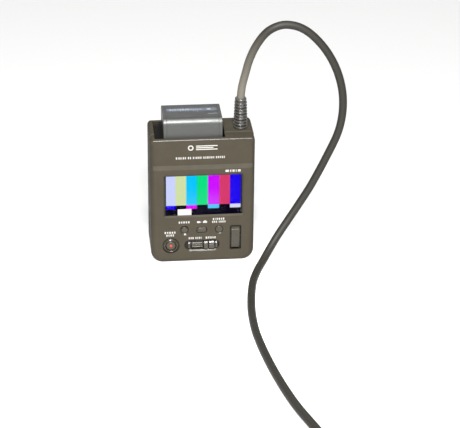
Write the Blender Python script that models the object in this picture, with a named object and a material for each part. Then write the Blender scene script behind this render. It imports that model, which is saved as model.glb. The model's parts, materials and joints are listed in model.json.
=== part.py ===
"""Handheld video recorder and control unit with its camera lead, as separate solids.

Millimetres are used for every number below; MM turns them into Blender's metres.
X runs to the right, Y away from the front face and Z up, with the origin under the
middle of the unit, on the surface it stands on. A depth is a distance behind the front face.
"""

import math

import bmesh
import bpy
from mathutils import Matrix, Vector

MM = 0.001

# Case.
CASE_WIDTH = 80.5
CASE_DEPTH = 41.0
FRONT_TOP = 105.0
REAR_TOP = 106.3
FRONT_FACE_Y = -20.15
BOTTOM_CORNER = 9.5
TOP_CORNER = 3.0
FRONT_EDGE = 3.2
REAR_EDGE = 3.6
WALL = 2.0
SEAM_DEPTH = 12.3
GAP = 0.3
HALF_WIDTH = CASE_WIDTH / 2

# Upper front panel, set back behind the lower front, and the slope between them.
PANEL_DEPTH = 2.5
PANEL_RIM = 2.0
SLOPE_TOP = 83.5
SLOPE_BOTTOM = 80.5

# Display.
SCREEN_X = 0.6
SCREEN_Z = 58.3
SCREEN_WIDTH = 59.8
SCREEN_HEIGHT = 33.6
SCREEN_DEPTH = 1.5

# Battery bay and battery.
BAY_X = (-36.3, 17.5)
BAY_DEPTH = (6.0, 38.4)
BAY_FLOOR = 84.9
BAY_WALL = 1.2
BAY_TOP = 102.7
BATTERY_SIZE = (45.0, 31.8, 34.4)
BATTERY_X = -7.05
BATTERY_BASE = 85.9

# Controls: centre on the front face, and size.
START_X, START_Z = -24.9, 15.6
PHOTO_X, PHOTO_Z = -14.2, 28.8
MODE_X, MODE_Z = -0.8, 28.6
DISPLAY_X, DISPLAY_Z = 12.8, 28.7
STRIP_X, STRIP_Z = -0.5, 15.2
STRIP_LENGTH, STRIP_HEIGHT = 27.5, 8.7
DIAL_X = (-8.9, 0.4)
DIAL_RADIUS = 2.9
DIAL_DEPTH = 2.8
MANUAL_X, MANUAL_WIDTH, MANUAL_HEIGHT = 7.0, 4.3, 6.1
ZOOM_X, ZOOM_Z = 25.6, 20.8
ZOOM_WIDTH, ZOOM_HEIGHT = 6.4, 19.0
ZOOM_PIN_DEPTH = 3.6
BOARD_DEPTH = 5.3

# Left side covers.
FLAP_THICKNESS = 1.9
FLAP_DEPTHS = (18.4, 35.8)
JACK_Z = (50.3, 77.7)
CARD_Z = (12.3, 42.0)

# Back.
SCREWS = ((-32.0, 11.5), (32.0, 11.5), (-32.0, 78.0), (32.0, 78.0))
SPEAKER_X, SPEAKER_Z = -14.0, 58.0
TRIPOD_X, TRIPOD_Z = 0.0, 30.0
RELEASE_X, RELEASE_Z = 30.0, 91.5
RELEASE_WIDTH, RELEASE_HEIGHT = 9.0, 6.2
RELEASE_TRAVEL = 2.5
POWER_DEPTH, POWER_Z = 26.0, 62.0
POWER_TRAVEL = 6.0

# Lead. The route is the centreline from the strain relief to where the coil begins.
CORD_RADIUS = 3.1
RELIEF_X, RELIEF_Y = 30.6, 0.5
RELIEF_FOOT, RELIEF_TOP = 101.0, 129.2
ROUTE = (
    (30.6, 0.5, 129.8),
    (30.8, 0.5, 134.0),
    (31.7, 0.5, 141.0),
    (33.9, 0.3, 150.5),
    (37.1, 0.0, 162.5),
    (42.8, -0.4, 175.0),
    (51.2, -1.0, 185.3),
    (63.2, -1.5, 189.8),
    (77.4, -2.0, 186.0),
    (91.4, -2.5, 173.2),
    (102.0, -3.0, 156.0),
    (108.0, -3.0, 137.0),
    (109.3, -3.0, 119.0),
    (106.6, -3.0, 101.5),
    (99.0, -3.2, 82.5),
    (86.2, -4.0, 56.0),
    (77.5, -5.5, 41.8),
    (68.3, -8.5, 28.6),
    (59.4, -13.6, 17.4),
    (51.8, -21.5, 9.0),
    (45.6, -31.5, 4.4),
    (40.6, -42.5, 3.15),
    (35.3, -60.0, 3.12),
    (31.2, -85.0, 3.12),
    (29.0, -112.0, 3.12),
    (29.6, -142.0, 3.12),
    (35.4, -187.0, 3.12),
    (44.4, -230.0, 3.12),
    (54.2, -261.0, 3.12),
    (64.6, -292.0, 3.6),
    (77.7, -330.6, 4.2),
)
COIL_CENTRE = (38.0, -345.0)
COIL_MIDDLE_RADIUS = 36.0
COIL_LAYERS = 4
COIL_BASE = 1.1
TAIL = (
    (8.6, -384.6, 17.8),
    (0.0, -384.6, 13.4),
    (-8.0, -384.6, 10.3),
    (-15.0, -384.6, 9.2),
    (-22.0, -384.6, 9.1),
)
PLUG_START_X = -22.4
PLUG_Y, PLUG_Z = -384.6, 9.1
TIE_WIDTH = 12.0
TIE_THICKNESS = 0.8

# Looks: colour, roughness, metallic.
LOOKS = {
    "case_plastic": ((0.055, 0.052, 0.046), 0.55, 0.0),
    "dark_plastic": ((0.02, 0.02, 0.02), 0.5, 0.0),
    "button_plastic": ((0.045, 0.043, 0.039), 0.5, 0.0),
    "battery_plastic": ((0.13, 0.14, 0.14), 0.45, 0.0),
    "screen_glass": ((0.6, 0.6, 0.65), 0.05, 0.0),
    "screen": ((0.1, 0.2, 0.6), 0.2, 0.0),
    "white_plastic": ((0.7, 0.7, 0.7), 0.5, 0.0),
    "circuit_board": ((0.02, 0.12, 0.05), 0.5, 0.0),
    "steel": ((0.5, 0.5, 0.5), 0.35, 1.0),
    "brass": ((0.6, 0.45, 0.2), 0.3, 1.0),
    "cell_wrap": ((0.1, 0.25, 0.5), 0.4, 0.0),
    "rubber": ((0.03, 0.03, 0.03), 0.7, 0.0),
    "cord_jacket": ((0.09, 0.088, 0.08), 0.6, 0.0),
}


# ---------------------------------------------------------------- helpers


def y_at(depth):
    """Y of a plane this far behind the front face."""
    return FRONT_FACE_Y + depth


def depths(front, back):
    return (y_at(front), y_at(back))


def around(centre, size):
    return (centre - size / 2, centre + size / 2)


def look(name):
    found = bpy.data.materials.get(name)
    if found:
        return found
    colour, roughness, metallic = LOOKS[name]
    made = bpy.data.materials.new(name)
    made.use_nodes = True
    shader = made.node_tree.nodes["Principled BSDF"]
    shader.inputs["Base Color"].default_value = (*colour, 1.0)
    shader.inputs["Roughness"].default_value = roughness
    shader.inputs["Metallic"].default_value = metallic
    return made


def add_object(name, mesh, look_name):
    made = bpy.data.objects.new(name, mesh)
    bpy.context.scene.collection.objects.link(made)
    if look_name:
        mesh.materials.append(look(look_name))
    return made


def from_shape(name, shape, look_name):
    """An object from a bmesh in millimetres, with its faces turned out."""
    bmesh.ops.recalc_face_normals(shape, faces=shape.faces)
    shape.transform(Matrix.Scale(MM, 4))
    mesh = bpy.data.meshes.new(name)
    shape.to_mesh(mesh)
    shape.free()
    return add_object(name, mesh, look_name)


def skin(name, rings, look_name=None, closed=False):
    """A solid skinned over rings of points. A ring of one point is a tip."""
    shape = bmesh.new()
    loops = [[shape.verts.new(point) for point in ring] for ring in rings]
    pairs = list(zip(loops, loops[1:]))
    if closed:
        pairs.append((loops[-1], loops[0]))
    for first, second in pairs:
        count = max(len(first), len(second))
        for i in range(count):
            corners = [
                first[i % len(first)],
                first[(i + 1) % len(first)],
                second[(i + 1) % len(second)],
                second[i % len(second)],
            ]
            shape.faces.new(list(dict.fromkeys(corners)))
    if not closed:
        for cap in (loops[0], loops[-1]):
            if len(cap) > 2:
                shape.faces.new(cap)
    return from_shape(name, shape, look_name)


def box(name, x, y, z, look_name=None):
    rings = [[(x[0], y[0], h), (x[1], y[0], h), (x[1], y[1], h), (x[0], y[1], h)] for h in z]
    return skin(name, rings, look_name)


def axis_frame(direction):
    """Rotation that turns +Z to the direction."""
    return Vector((0, 0, 1)).rotation_difference(Vector(direction)).to_matrix()


def turned(name, start, direction, profile, look_name=None, closed=False, steps=24):
    """A solid of revolution. The profile is (distance along, radius) from the start point."""
    turn = axis_frame(direction)
    rings = []
    for along, radius in profile:
        if radius == 0:
            rings.append([Vector(start) + turn @ Vector((0, 0, along))])
            continue
        ring = []
        for i in range(steps):
            angle = math.tau * i / steps
            spoke = Vector((radius * math.cos(angle), radius * math.sin(angle), along))
            ring.append(Vector(start) + turn @ spoke)
        rings.append(ring)
    return skin(name, rings, look_name, closed)


def rod(name, start, direction, length, radius, look_name=None, steps=24):
    return turned(name, start, direction, ((0, radius), (length, radius)), look_name, steps=steps)


def prism_x(name, x, outline, look_name=None):
    """A (y, z) outline extruded along X."""
    return skin(name, [[(at, y, z) for y, z in outline] for at in x], look_name)


def rounded_rectangle(x, z, bottom_radius, top_radius, steps=4):
    corners = (
        (x[0] + bottom_radius, z[0] + bottom_radius, bottom_radius, 180),
        (x[1] - bottom_radius, z[0] + bottom_radius, bottom_radius, 270),
        (x[1] - top_radius, z[1] - top_radius, top_radius, 0),
        (x[0] + top_radius, z[1] - top_radius, top_radius, 90),
    )
    outline = []
    for centre_x, centre_z, radius, first in corners:
        for i in range(steps + 1):
            angle = math.radians(first + 90 * i / steps)
            outline.append((centre_x + radius * math.cos(angle), centre_z + radius * math.sin(angle)))
    return outline


def rounded_block(name, x, y, z, radius, look_name=None, steps=4, top_radius=None):
    """A block along Y whose outline, seen from the front, has rounded corners."""
    outline = rounded_rectangle(x, z, radius, top_radius or radius, steps)
    return skin(name, [[(px, at, pz) for px, pz in outline] for at in y], look_name)


def baked(obj):
    """Replaces an object's mesh by its modified one."""
    graph = bpy.context.evaluated_depsgraph_get()
    mesh = bpy.data.meshes.new_from_object(obj.evaluated_get(graph))
    obj.modifiers.clear()
    obj.data = mesh


def combine(target, operation, others):
    for other in others:
        modifier = target.modifiers.new(operation.lower(), "BOOLEAN")
        modifier.operation = operation
        modifier.solver = "EXACT"
        modifier.object = other
    bpy.context.view_layer.update()
    baked(target)
    for other in others:
        bpy.data.objects.remove(other)
    return target


def cut(target, *tools):
    return combine(target, "DIFFERENCE", tools)


def join(target, *more):
    return combine(target, "UNION", more)


def move_origin(obj, point):
    """Puts the object's origin at a point in millimetres without moving its shape."""
    shift = Vector(point) * MM - obj.location
    obj.data.transform(Matrix.Translation(-shift))
    obj.location += shift


def body(name, pivot, pieces):
    """Parents a moving body's pieces to an empty on its joint's axis."""
    holder = bpy.data.objects.new("body_" + name, None)
    holder.empty_display_size = 5 * MM
    holder.location = Vector(pivot) * MM
    bpy.context.scene.collection.objects.link(holder)
    for piece in pieces:
        move_origin(piece, pivot)
        piece.parent = holder
        piece.location = (0, 0, 0)


# ---------------------------------------------------------------- case


def case_ring(depth, inset, top):
    outline = rounded_rectangle(
        (-HALF_WIDTH + inset, HALF_WIDTH - inset),
        (inset, top - inset),
        BOTTOM_CORNER - inset,
        max(TOP_CORNER - inset, 0.8),
        steps=5,
    )
    return [(x, y_at(depth), z) for x, z in outline]


def edge_rings(face_depth, sign, radius, top, steps=3):
    """Rings of a rounded edge that starts at a face and turns onto the sides."""
    rings = []
    for i in range(steps + 1):
        angle = math.radians(90 * i / steps)
        depth = face_depth + sign * radius * (1 - math.cos(angle))
        rings.append(case_ring(depth, radius * (1 - math.sin(angle)), top))
    return rings


def bay_opening(name, front, back):
    return box(name, BAY_X, depths(front, back), (100.0, 110.0))


def flap_opening(name, z):
    return box(name, (-HALF_WIDTH - 1, -HALF_WIDTH + 3), depths(*FLAP_DEPTHS), z)


def window_ring(depth, grow):
    """The display opening's outline at a depth, grown on every side."""
    x = around(SCREEN_X, SCREEN_WIDTH + 2 * grow)
    z = around(SCREEN_Z, SCREEN_HEIGHT + 2 * grow)
    return [(px, y_at(depth), pz) for px, pz in ((x[0], z[0]), (x[1], z[0]), (x[1], z[1]), (x[0], z[1]))]


def front_cover():
    rings = edge_rings(0, 1, FRONT_EDGE, FRONT_TOP)
    rings.append(case_ring(SEAM_DEPTH, 0, FRONT_TOP))
    cover = skin("front_cover", rings, "case_plastic")
    panel_back, slope_reach = y_at(PANEL_DEPTH), y_at(-1.0)
    slope_run = (SLOPE_TOP - SLOPE_BOTTOM) / PANEL_DEPTH
    panel = prism_x(
        "panel_cut",
        (-HALF_WIDTH + PANEL_RIM, HALF_WIDTH - PANEL_RIM),
        (
            (panel_back, SLOPE_TOP),
            (slope_reach, SLOPE_BOTTOM - slope_run),
            (slope_reach, 110.0),
            (panel_back, 110.0),
        ),
    )
    inner = (-HALF_WIDTH + WALL, HALF_WIDTH - WALL)
    lower = rounded_block(
        "lower_cut",
        inner,
        depths(WALL, 20),
        (WALL, SLOPE_BOTTOM - 1.0),
        BOTTOM_CORNER - WALL,
        top_radius=0.8,
    )
    upper = box("upper_cut", inner, depths(PANEL_DEPTH + WALL, 20), (70.0, FRONT_TOP - WALL))
    window = skin("window_cut", [window_ring(-0.5, 1.3), window_ring(SCREEN_DEPTH - GAP, 0)])
    through = box(
        "through_cut",
        around(SCREEN_X, SCREEN_WIDTH),
        depths(1.0, 5.0),
        around(SCREEN_Z, SCREEN_HEIGHT),
    )
    pocket = box(
        "pocket_cut",
        around(SCREEN_X, SCREEN_WIDTH + 2.8),
        depths(SCREEN_DEPTH - GAP, 5.0),
        around(SCREEN_Z, SCREEN_HEIGHT + 2.8),
    )
    ring_hole = rod("ring_cut", (START_X, y_at(-1), START_Z), (0, 1, 0), 6, 6.75, steps=32)
    photo_hole = button_hole("photo_cut", PHOTO_X, PHOTO_Z, 2.95, 3.95)
    display_hole = button_hole("display_cut", DISPLAY_X, DISPLAY_Z, 3.15, 3.6)
    mode_hole = rounded_block(
        "mode_cut", around(MODE_X, 7.8), depths(-1, 5), around(MODE_Z, 4.5), 1.3
    )
    strip_hole = rounded_block(
        "strip_cut",
        around(STRIP_X, STRIP_LENGTH),
        depths(-1, 5),
        around(STRIP_Z, STRIP_HEIGHT),
        STRIP_HEIGHT / 2 - 0.01,
        steps=6,
    )
    zoom_hole = rounded_block(
        "zoom_cut",
        around(ZOOM_X, ZOOM_WIDTH + 2.4),
        depths(-1, 5),
        around(ZOOM_Z, ZOOM_HEIGHT + 2.4),
        1.2,
    )
    cut(cover, panel, lower, upper, window, through, pocket, ring_hole)
    cut(cover, photo_hole, display_hole, mode_hole, strip_hole, zoom_hole, bay_opening("bay_cut", 6.0, 20))
    lugs = [
        box(f"lug_{i}", around(x, 1.0), depths(1.5, 5.0), around(ZOOM_Z, 4.0))
        for i, x in enumerate((ZOOM_X - 5.0, ZOOM_X + 5.0))
    ]
    join(cover, *lugs)
    pin_hole = rod("pin_cut", (ZOOM_X - 7, y_at(ZOOM_PIN_DEPTH), ZOOM_Z), (1, 0, 0), 14, 1.0, steps=12)
    return cut(cover, pin_hole)


def button_hole(name, x, z, hole_radius, dish_radius):
    """A round hole whose mouth is dished."""
    profile = ((0, dish_radius + 0.6), (1.0, dish_radius), (1.8, hole_radius), (6, hole_radius))
    return turned(name, (x, y_at(-1), z), (0, 1, 0), profile)


def rear_cover():
    rings = edge_rings(CASE_DEPTH, -1, REAR_EDGE, REAR_TOP)
    rings.append(case_ring(SEAM_DEPTH + GAP, 0, REAR_TOP))
    cover = skin("rear_cover", rings, "case_plastic")
    back = CASE_DEPTH - WALL
    cavity = skin("cavity_cut", [case_ring(depth, WALL, REAR_TOP) for depth in (10, back)])
    tray_pocket = box(
        "tray_cut",
        (BAY_X[0] - BAY_WALL - GAP, BAY_X[1] + BAY_WALL + GAP),
        depths(20, BAY_DEPTH[1] + BAY_WALL + GAP),
        (BAY_FLOOR - 2.0, REAR_TOP - WALL),
    )
    relief_hole = rod("relief_cut", (RELIEF_X, RELIEF_Y, RELIEF_FOOT - 1), (0, 0, 1), 10, 5.0)
    cut(cover, cavity, tray_pocket, bay_opening("bay_cut", 10, BAY_DEPTH[1]), relief_hole)
    bosses = [
        rod(f"boss_{i}", (x, y_at(CASE_DEPTH - 1.0), z), (0, -1, 0), 11, 3.4, steps=12)
        for i, (x, z) in enumerate(SCREWS)
    ]
    join(cover, *bosses)
    screw_cuts = []
    for i, (x, z) in enumerate(SCREWS):
        profile = ((0, 3.0), (2.2, 3.0), (2.2, 1.5), (13.5, 1.5))
        mouth = (x, y_at(CASE_DEPTH + 1), z)
        screw_cuts.append(turned(f"screw_cut_{i}", mouth, (0, -1, 0), profile, steps=12))
    cut(cover, *screw_cuts)
    slot_pitch = 2.6
    slots = [
        rounded_block(
            f"slot_cut_{i}",
            around(SPEAKER_X, 12.0),
            depths(30, 45),
            around(SPEAKER_Z + slot_pitch * (i - 2), 1.3),
            0.6,
            steps=2,
        )
        for i in range(5)
    ]
    tripod_hole = rod("tripod_cut", (TRIPOD_X, y_at(30), TRIPOD_Z), (0, 1, 0), 15, 5.3)
    release_hole = rounded_block(
        "release_cut",
        around(RELEASE_X - RELEASE_TRAVEL / 2, RELEASE_WIDTH + RELEASE_TRAVEL + 2 * GAP),
        depths(30, 45),
        around(RELEASE_Z, RELEASE_HEIGHT + 2 * GAP),
        1.0,
    )
    power_hole = box("power_cut", (30, 45), around(y_at(POWER_DEPTH), 4.6), around(POWER_Z, 13.6))
    cut(cover, *slots, tripod_hole, release_hole, power_hole)
    return cut(cover, flap_opening("jack_cut", JACK_Z), flap_opening("card_cut", CARD_Z))


# ---------------------------------------------------------------- display and boards


def display_stack():
    width, height = SCREEN_WIDTH + 2.2, SCREEN_HEIGHT + 2.2
    x, z = around(SCREEN_X, width), around(SCREEN_Z, height)
    box("lcd_window", x, depths(SCREEN_DEPTH, 2.3), z, "screen_glass")
    box("lcd_panel", x, depths(2.6, 4.2), z, "screen")
    box("lcd_backlight", x, depths(4.5, 6.3), z, "white_plastic")
    frame_x, frame_z = around(SCREEN_X, width + 2.6), around(SCREEN_Z, height + 2.6)
    frame = box("lcd_frame", frame_x, depths(2.7, 7.3), frame_z, "steel")
    hollow = box(
        "frame_cut", around(SCREEN_X, width + 0.8), depths(1, 6.6), around(SCREEN_Z, height + 0.8)
    )
    cut(frame, hollow)


def chassis_plate():
    plate = box("chassis_plate", (-36, 36), depths(8.0, 9.0), (4.5, 80.5), "steel")
    holes = [
        rod(f"plate_cut_{i}", (x, y_at(7), z), (0, 1, 0), 4, 2.5, steps=12)
        for i, (x, z) in enumerate(((-30, 12), (30, 12), (-30, 72), (30, 72)))
    ]
    ribbon = box("ribbon_cut", (-12, 12), depths(7, 10), (34, 37.5))
    cut(plate, ribbon, *holes)


def switch_board():
    board_depths = depths(BOARD_DEPTH, BOARD_DEPTH + 1.2)
    board = box("switch_board", (-34, 34), board_depths, (6.5, 36.0), "circuit_board")
    domes = [
        rod(f"dome_{i}", (x, y_at(BOARD_DEPTH + 0.5), z), (0, -1, 0), reach + 0.5, 1.6, steps=12)
        for i, (x, z, reach) in enumerate(
            (
                (START_X, START_Z, 1.0),
                (PHOTO_X, PHOTO_Z, 1.0),
                (MODE_X, MODE_Z, 1.0),
                (DISPLAY_X, DISPLAY_Z, 1.0),
                (MANUAL_X, STRIP_Z, 0.4),
            )
        )
    ]
    join(board, *domes)
    dial_hole = box("dial_cut", (-11.6, 2.7), depths(4, 9), (11.5, 19.0))
    cut(board, dial_hole)


def main_board():
    depth = 14.0
    board = box("main_board", (-35, 35), depths(depth, depth + 1.2), (6, 78), "circuit_board")
    processor = ((12, 26), (40, 54), 1.4)
    memory = ((14, 24), (24, 32), 1.1)
    side_plug = ((-30, -24), (20, 40), 3.0)
    battery_plug = ((-6, 14), (68, 74), 4.0)
    chips = [
        box(f"chip_{i}", x, depths(depth + 0.6, depth + 1.2 + height), z)
        for i, (x, z, height) in enumerate((processor, memory, side_plug, battery_plug))
    ]
    join(board, *chips)
    can = box("shield_can", (-22, 6), depths(depth + 1.5, depth + 4.5), (30, 62), "steel")
    cut(can, box("can_cut", (-21.6, 5.6), depths(depth, depth + 4.1), (30.4, 61.6)))


# ---------------------------------------------------------------- controls


def round_button(name, x, z, radius, proud, look_name):
    """A cap through the wall, with a wider foot that keeps it in."""
    profile = (
        (0, 0),
        (0.15, radius - 0.5),
        (0.5, radius),
        (2.3 + proud, radius),
        (2.3 + proud, radius + 0.9),
        (3.3 + proud, radius + 0.9),
        (3.3 + proud, 0),
    )
    button = turned(name, (x, y_at(-proud), z), (0, 1, 0), profile, look_name)
    body(name, (x, y_at(0), z), [button])


def start_stop():
    """A raised ring dished towards its middle, held by a flange, and the cap inside it."""
    centre, inward = (START_X, y_at(0), START_Z), (0, 1, 0)
    dish = ((-0.2, 6.1), (-0.5, 5.5), (0.7, 4.5))
    flange = ((3.2, 4.5), (3.2, 7.3), (2.3, 7.3), (2.3, 6.45), (0.2, 6.45))
    turned("start_stop_ring", centre, inward, dish + flange, "case_plastic", closed=True, steps=32)
    profile = ((-0.1, 0), (0.0, 3.4), (0.4, 4.15), (3.5, 4.15), (3.5, 0))
    cap = turned("start_stop_button", centre, inward, profile, "button_plastic", steps=32)
    body("start_stop_button", centre, [cap])


def mode_button():
    cap_x, cap_z = around(MODE_X, 7.2), around(MODE_Z, 3.9)
    cap = rounded_block("mode_button", cap_x, depths(0.1, 2.8), cap_z, 1.0, "button_plastic")
    foot = rounded_block("mode_foot", around(MODE_X, 9.0), depths(2.3, 3.3), around(MODE_Z, 5.6), 1.0)
    join(cap, foot)
    body("mode_button", (MODE_X, y_at(0), MODE_Z), [cap])


def control_strip():
    """The long recess with the ridged dial and the square button."""
    bezel = rounded_block(
        "control_bezel",
        around(STRIP_X, STRIP_LENGTH - 2 * GAP),
        depths(1.4, 3.1),
        around(STRIP_Z, STRIP_HEIGHT - 2 * GAP),
        STRIP_HEIGHT / 2 - GAP - 0.01,
        "dark_plastic",
        steps=6,
    )
    flange = rounded_block(
        "bezel_flange",
        around(STRIP_X, STRIP_LENGTH + 3.0),
        depths(2.3, 3.1),
        around(STRIP_Z, STRIP_HEIGHT + 3.0),
        4.0,
    )
    block = box("bezel_block", (1.0, 4.0), depths(0.2, 2.5), around(STRIP_Z, 6.2))
    join(bezel, flange, block)
    dial_x = (DIAL_X[0] - GAP, DIAL_X[1] + GAP)
    dial_window = box("dial_window", dial_x, depths(-1, 5), around(STRIP_Z, 6.4))
    manual_window = box(
        "manual_window",
        around(MANUAL_X, MANUAL_WIDTH + 2 * GAP),
        depths(-1, 5),
        around(STRIP_Z, MANUAL_HEIGHT + 2 * GAP),
    )
    axle_channel = box("axle_channel", (-11.4, 2.5), depths(1.8, 5), around(STRIP_Z, 2.4))
    cut(bezel, dial_window, manual_window, axle_channel)

    manual = box(
        "manual_button",
        around(MANUAL_X, MANUAL_WIDTH),
        depths(0.0, 4.0),
        around(STRIP_Z, MANUAL_HEIGHT),
        "button_plastic",
    )
    manual_foot = box("manual_foot", around(MANUAL_X, 6.0), depths(3.5, 4.2), around(STRIP_Z, 7.6))
    join(manual, manual_foot)
    body("manual_button", (MANUAL_X, y_at(0), STRIP_Z), [manual])


def control_dial():
    teeth = 9
    rings = []
    for x in DIAL_X:
        ring = []
        for i in range(2 * teeth):
            angle = math.tau * i / (2 * teeth)
            radius = DIAL_RADIUS if i % 2 else DIAL_RADIUS - 0.4
            y = y_at(DIAL_DEPTH) + radius * math.cos(angle)
            ring.append((x, y, STRIP_Z + radius * math.sin(angle)))
        rings.append(ring)
    dial = skin("control_dial", rings, "button_plastic")
    axle_start = (DIAL_X[0] - 1.9, y_at(DIAL_DEPTH), STRIP_Z)
    axle_length = DIAL_X[1] - DIAL_X[0] + 3.5
    axle = rod("dial_axle", axle_start, (1, 0, 0), axle_length, 0.8, steps=12)
    join(dial, axle)
    body("control_dial", ((DIAL_X[0] + DIAL_X[1]) / 2, y_at(DIAL_DEPTH), STRIP_Z), [dial])

    holder = box("dial_holder", (-11.2, 2.3), depths(6.7, 7.3), (12.0, 18.4), "dark_plastic")
    ears = [
        box(f"dial_ear_{i}", x, depths(3.4, 7.0), (13.6, 16.8))
        for i, x in enumerate(((-11.2, -10.0), (1.1, 2.3)))
    ]
    join(holder, *ears)
    cut(holder, rod("saddle_cut", (-13, y_at(DIAL_DEPTH), STRIP_Z), (1, 0, 0), 18, 1.1, steps=12))


def zoom_rocker():
    half = ZOOM_HEIGHT / 2
    outline = (
        (y_at(-0.7), ZOOM_Z + half - 0.6),
        (y_at(-0.7), ZOOM_Z + half - 1.6),
        (y_at(0.2), ZOOM_Z + half - 5.0),
        (y_at(0.5), ZOOM_Z),
        (y_at(0.2), ZOOM_Z - half + 5.0),
        (y_at(-0.4), ZOOM_Z - half + 1.6),
        (y_at(-0.4), ZOOM_Z - half + 0.6),
        (y_at(0.2), ZOOM_Z - half),
        (y_at(2.6), ZOOM_Z - half),
        (y_at(4.2), ZOOM_Z - 4.0),
        (y_at(4.8), ZOOM_Z - 1.5),
        (y_at(4.8), ZOOM_Z + 1.5),
        (y_at(4.2), ZOOM_Z + 4.0),
        (y_at(2.6), ZOOM_Z + half),
        (y_at(0.2), ZOOM_Z + half),
    )
    rocker = prism_x("zoom_rocker", around(ZOOM_X, ZOOM_WIDTH), outline, "button_plastic")
    pin_y = y_at(ZOOM_PIN_DEPTH)
    cut(rocker, rod("rocker_cut", (ZOOM_X - 6, pin_y, ZOOM_Z), (1, 0, 0), 12, 1.0, steps=12))
    body("zoom_rocker", (ZOOM_X, pin_y, ZOOM_Z), [rocker])
    rod("zoom_rocker_pin", (ZOOM_X - 5.6, pin_y, ZOOM_Z), (1, 0, 0), 11.2, 0.7, "steel", steps=12)


# ---------------------------------------------------------------- battery


def battery_bay():
    outer_x = (BAY_X[0] - BAY_WALL, BAY_X[1] + BAY_WALL)
    outer_depth = (BAY_DEPTH[0] - BAY_WALL, BAY_DEPTH[1] + BAY_WALL)
    tray = box("battery_bay", outer_x, depths(*outer_depth), (BAY_FLOOR - 1.5, BAY_TOP), "dark_plastic")
    cut(tray, box("tray_hollow", BAY_X, depths(*BAY_DEPTH), (BAY_FLOOR, 120)))
    box("battery_terminal", (7.0, 13.0), depths(16, 28), (BAY_FLOOR + GAP, BAY_FLOOR + 2.0), "dark_plastic")


def battery():
    """The pack: a case open below, its base plate and the four cells."""
    length, width, height = BATTERY_SIZE
    x = around(BATTERY_X, length)
    front = BAY_DEPTH[0] + 0.3
    y = depths(front, front + width)
    z = (BATTERY_BASE, BATTERY_BASE + height)
    edge = 3.0
    outline = []
    for centre_y, sign in ((y[0] + edge, -1), (y[1] - edge, 1)):
        angles = (0, 30, 60, 90) if sign < 0 else (90, 60, 30, 0)
        for angle in angles:
            turn = math.radians(angle)
            rise = z[1] - edge + edge * math.sin(turn)
            outline.append((centre_y + sign * edge * math.cos(turn), rise))
    outline += [(y[1], z[0] + 2.3), (y[0], z[0] + 2.3)]
    case = prism_x("battery_case", x, outline, "battery_plastic")
    shell = 1.2
    inner = box(
        "cell_cut", (x[0] + shell, x[1] - shell), (y[0] + shell, y[1] - shell), (z[0], z[1] - 1.4)
    )
    cut(case, inner)
    base = box("battery_base", x, y, (z[0], z[0] + 2.0), "dark_plastic")
    contact_slot = box("contact_cut", (6.2, x[1] + 1), depths(15.4, 28.6), (z[0] - 1, z[0] + 1.3))
    cut(base, contact_slot)
    pieces = [case, base]
    middle_y = (y[0] + y[1]) / 2
    for row, cell_z in enumerate((z[0] + 9.6, z[0] + 24.2)):
        for column, cell_y in enumerate((middle_y - 7.25, middle_y + 7.25)):
            cell = rod(
                f"battery_cell_{2 * row + column + 1}",
                (x[0] + 1.8, cell_y, cell_z),
                (1, 0, 0),
                length - 3.6,
                7.0,
                "cell_wrap",
                steps=16,
            )
            pieces.append(cell)
    body("battery", (BATTERY_X, middle_y, BATTERY_BASE), pieces)


def battery_release():
    """A ridged slide, on a plate that keeps its hole covered all along the travel."""
    slide = rounded_block(
        "battery_release",
        around(RELEASE_X, RELEASE_WIDTH),
        depths(38.0, CASE_DEPTH - 0.1),
        around(RELEASE_Z, RELEASE_HEIGHT),
        0.9,
        "button_plastic",
    )
    plate_width = RELEASE_WIDTH + 2 * RELEASE_TRAVEL + 1.0
    plate = box(
        "release_plate",
        around(RELEASE_X, plate_width),
        depths(36.9, 38.6),
        around(RELEASE_Z, RELEASE_HEIGHT + 3.4),
    )
    join(slide, plate)
    ridge_pitch = 1.8
    ridge_cuts = [
        box(
            f"ridge_cut_{i}",
            around(RELEASE_X + ridge_pitch * (i - 2), 0.7),
            depths(40.3, 42),
            around(RELEASE_Z, 5.0),
        )
        for i in range(5)
    ]
    cut(slide, *ridge_cuts)
    body("battery_release", (RELEASE_X, y_at(CASE_DEPTH), RELEASE_Z), [slide])


# ---------------------------------------------------------------- left side


def flap(name, z, hinge_along_z):
    """A cover whose hinged edge is rounded about its pin, flush with the left side."""
    radius = FLAP_THICKNESS / 2
    outer_x = -HALF_WIDTH
    middle_x = outer_x + radius
    y = (y_at(FLAP_DEPTHS[0]) + GAP, y_at(FLAP_DEPTHS[1]) - GAP)
    z = (z[0] + GAP, z[1] - GAP)
    across = y if hinge_along_z else z
    hinge_at = across[1] - radius if hinge_along_z else across[0] + radius
    free_edge = across[0] if hinge_along_z else across[1]
    side = 1 if hinge_along_z else -1
    outline = [(outer_x, free_edge), (outer_x, hinge_at)]
    for angle in (30, 60, 90, 120, 150):
        turn = math.radians(angle)
        outline.append((middle_x - radius * math.cos(turn), hinge_at + side * radius * math.sin(turn)))
    outline += [(outer_x + FLAP_THICKNESS, hinge_at), (outer_x + FLAP_THICKNESS, free_edge)]
    if hinge_along_z:
        rings = [[(px, p, at) for px, p in outline] for at in z]
        start, direction, length = (middle_x, hinge_at, z[0] - 1), (0, 0, 1), z[1] - z[0] + 2
    else:
        rings = [[(px, at, p) for px, p in outline] for at in y]
        start, direction, length = (middle_x, y[0] - 1, hinge_at), (0, 1, 0), y[1] - y[0] + 2
    cover = skin(name, rings, "case_plastic")
    cut(cover, rod("flap_bore", start, direction, length, 0.6, steps=12))
    body(name, start, [cover])
    pin_start = Vector(start) + Vector(direction) * 1.1
    rod(name + "_pin", pin_start, direction, length - 2.2, 0.3, "steel", steps=8)


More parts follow.
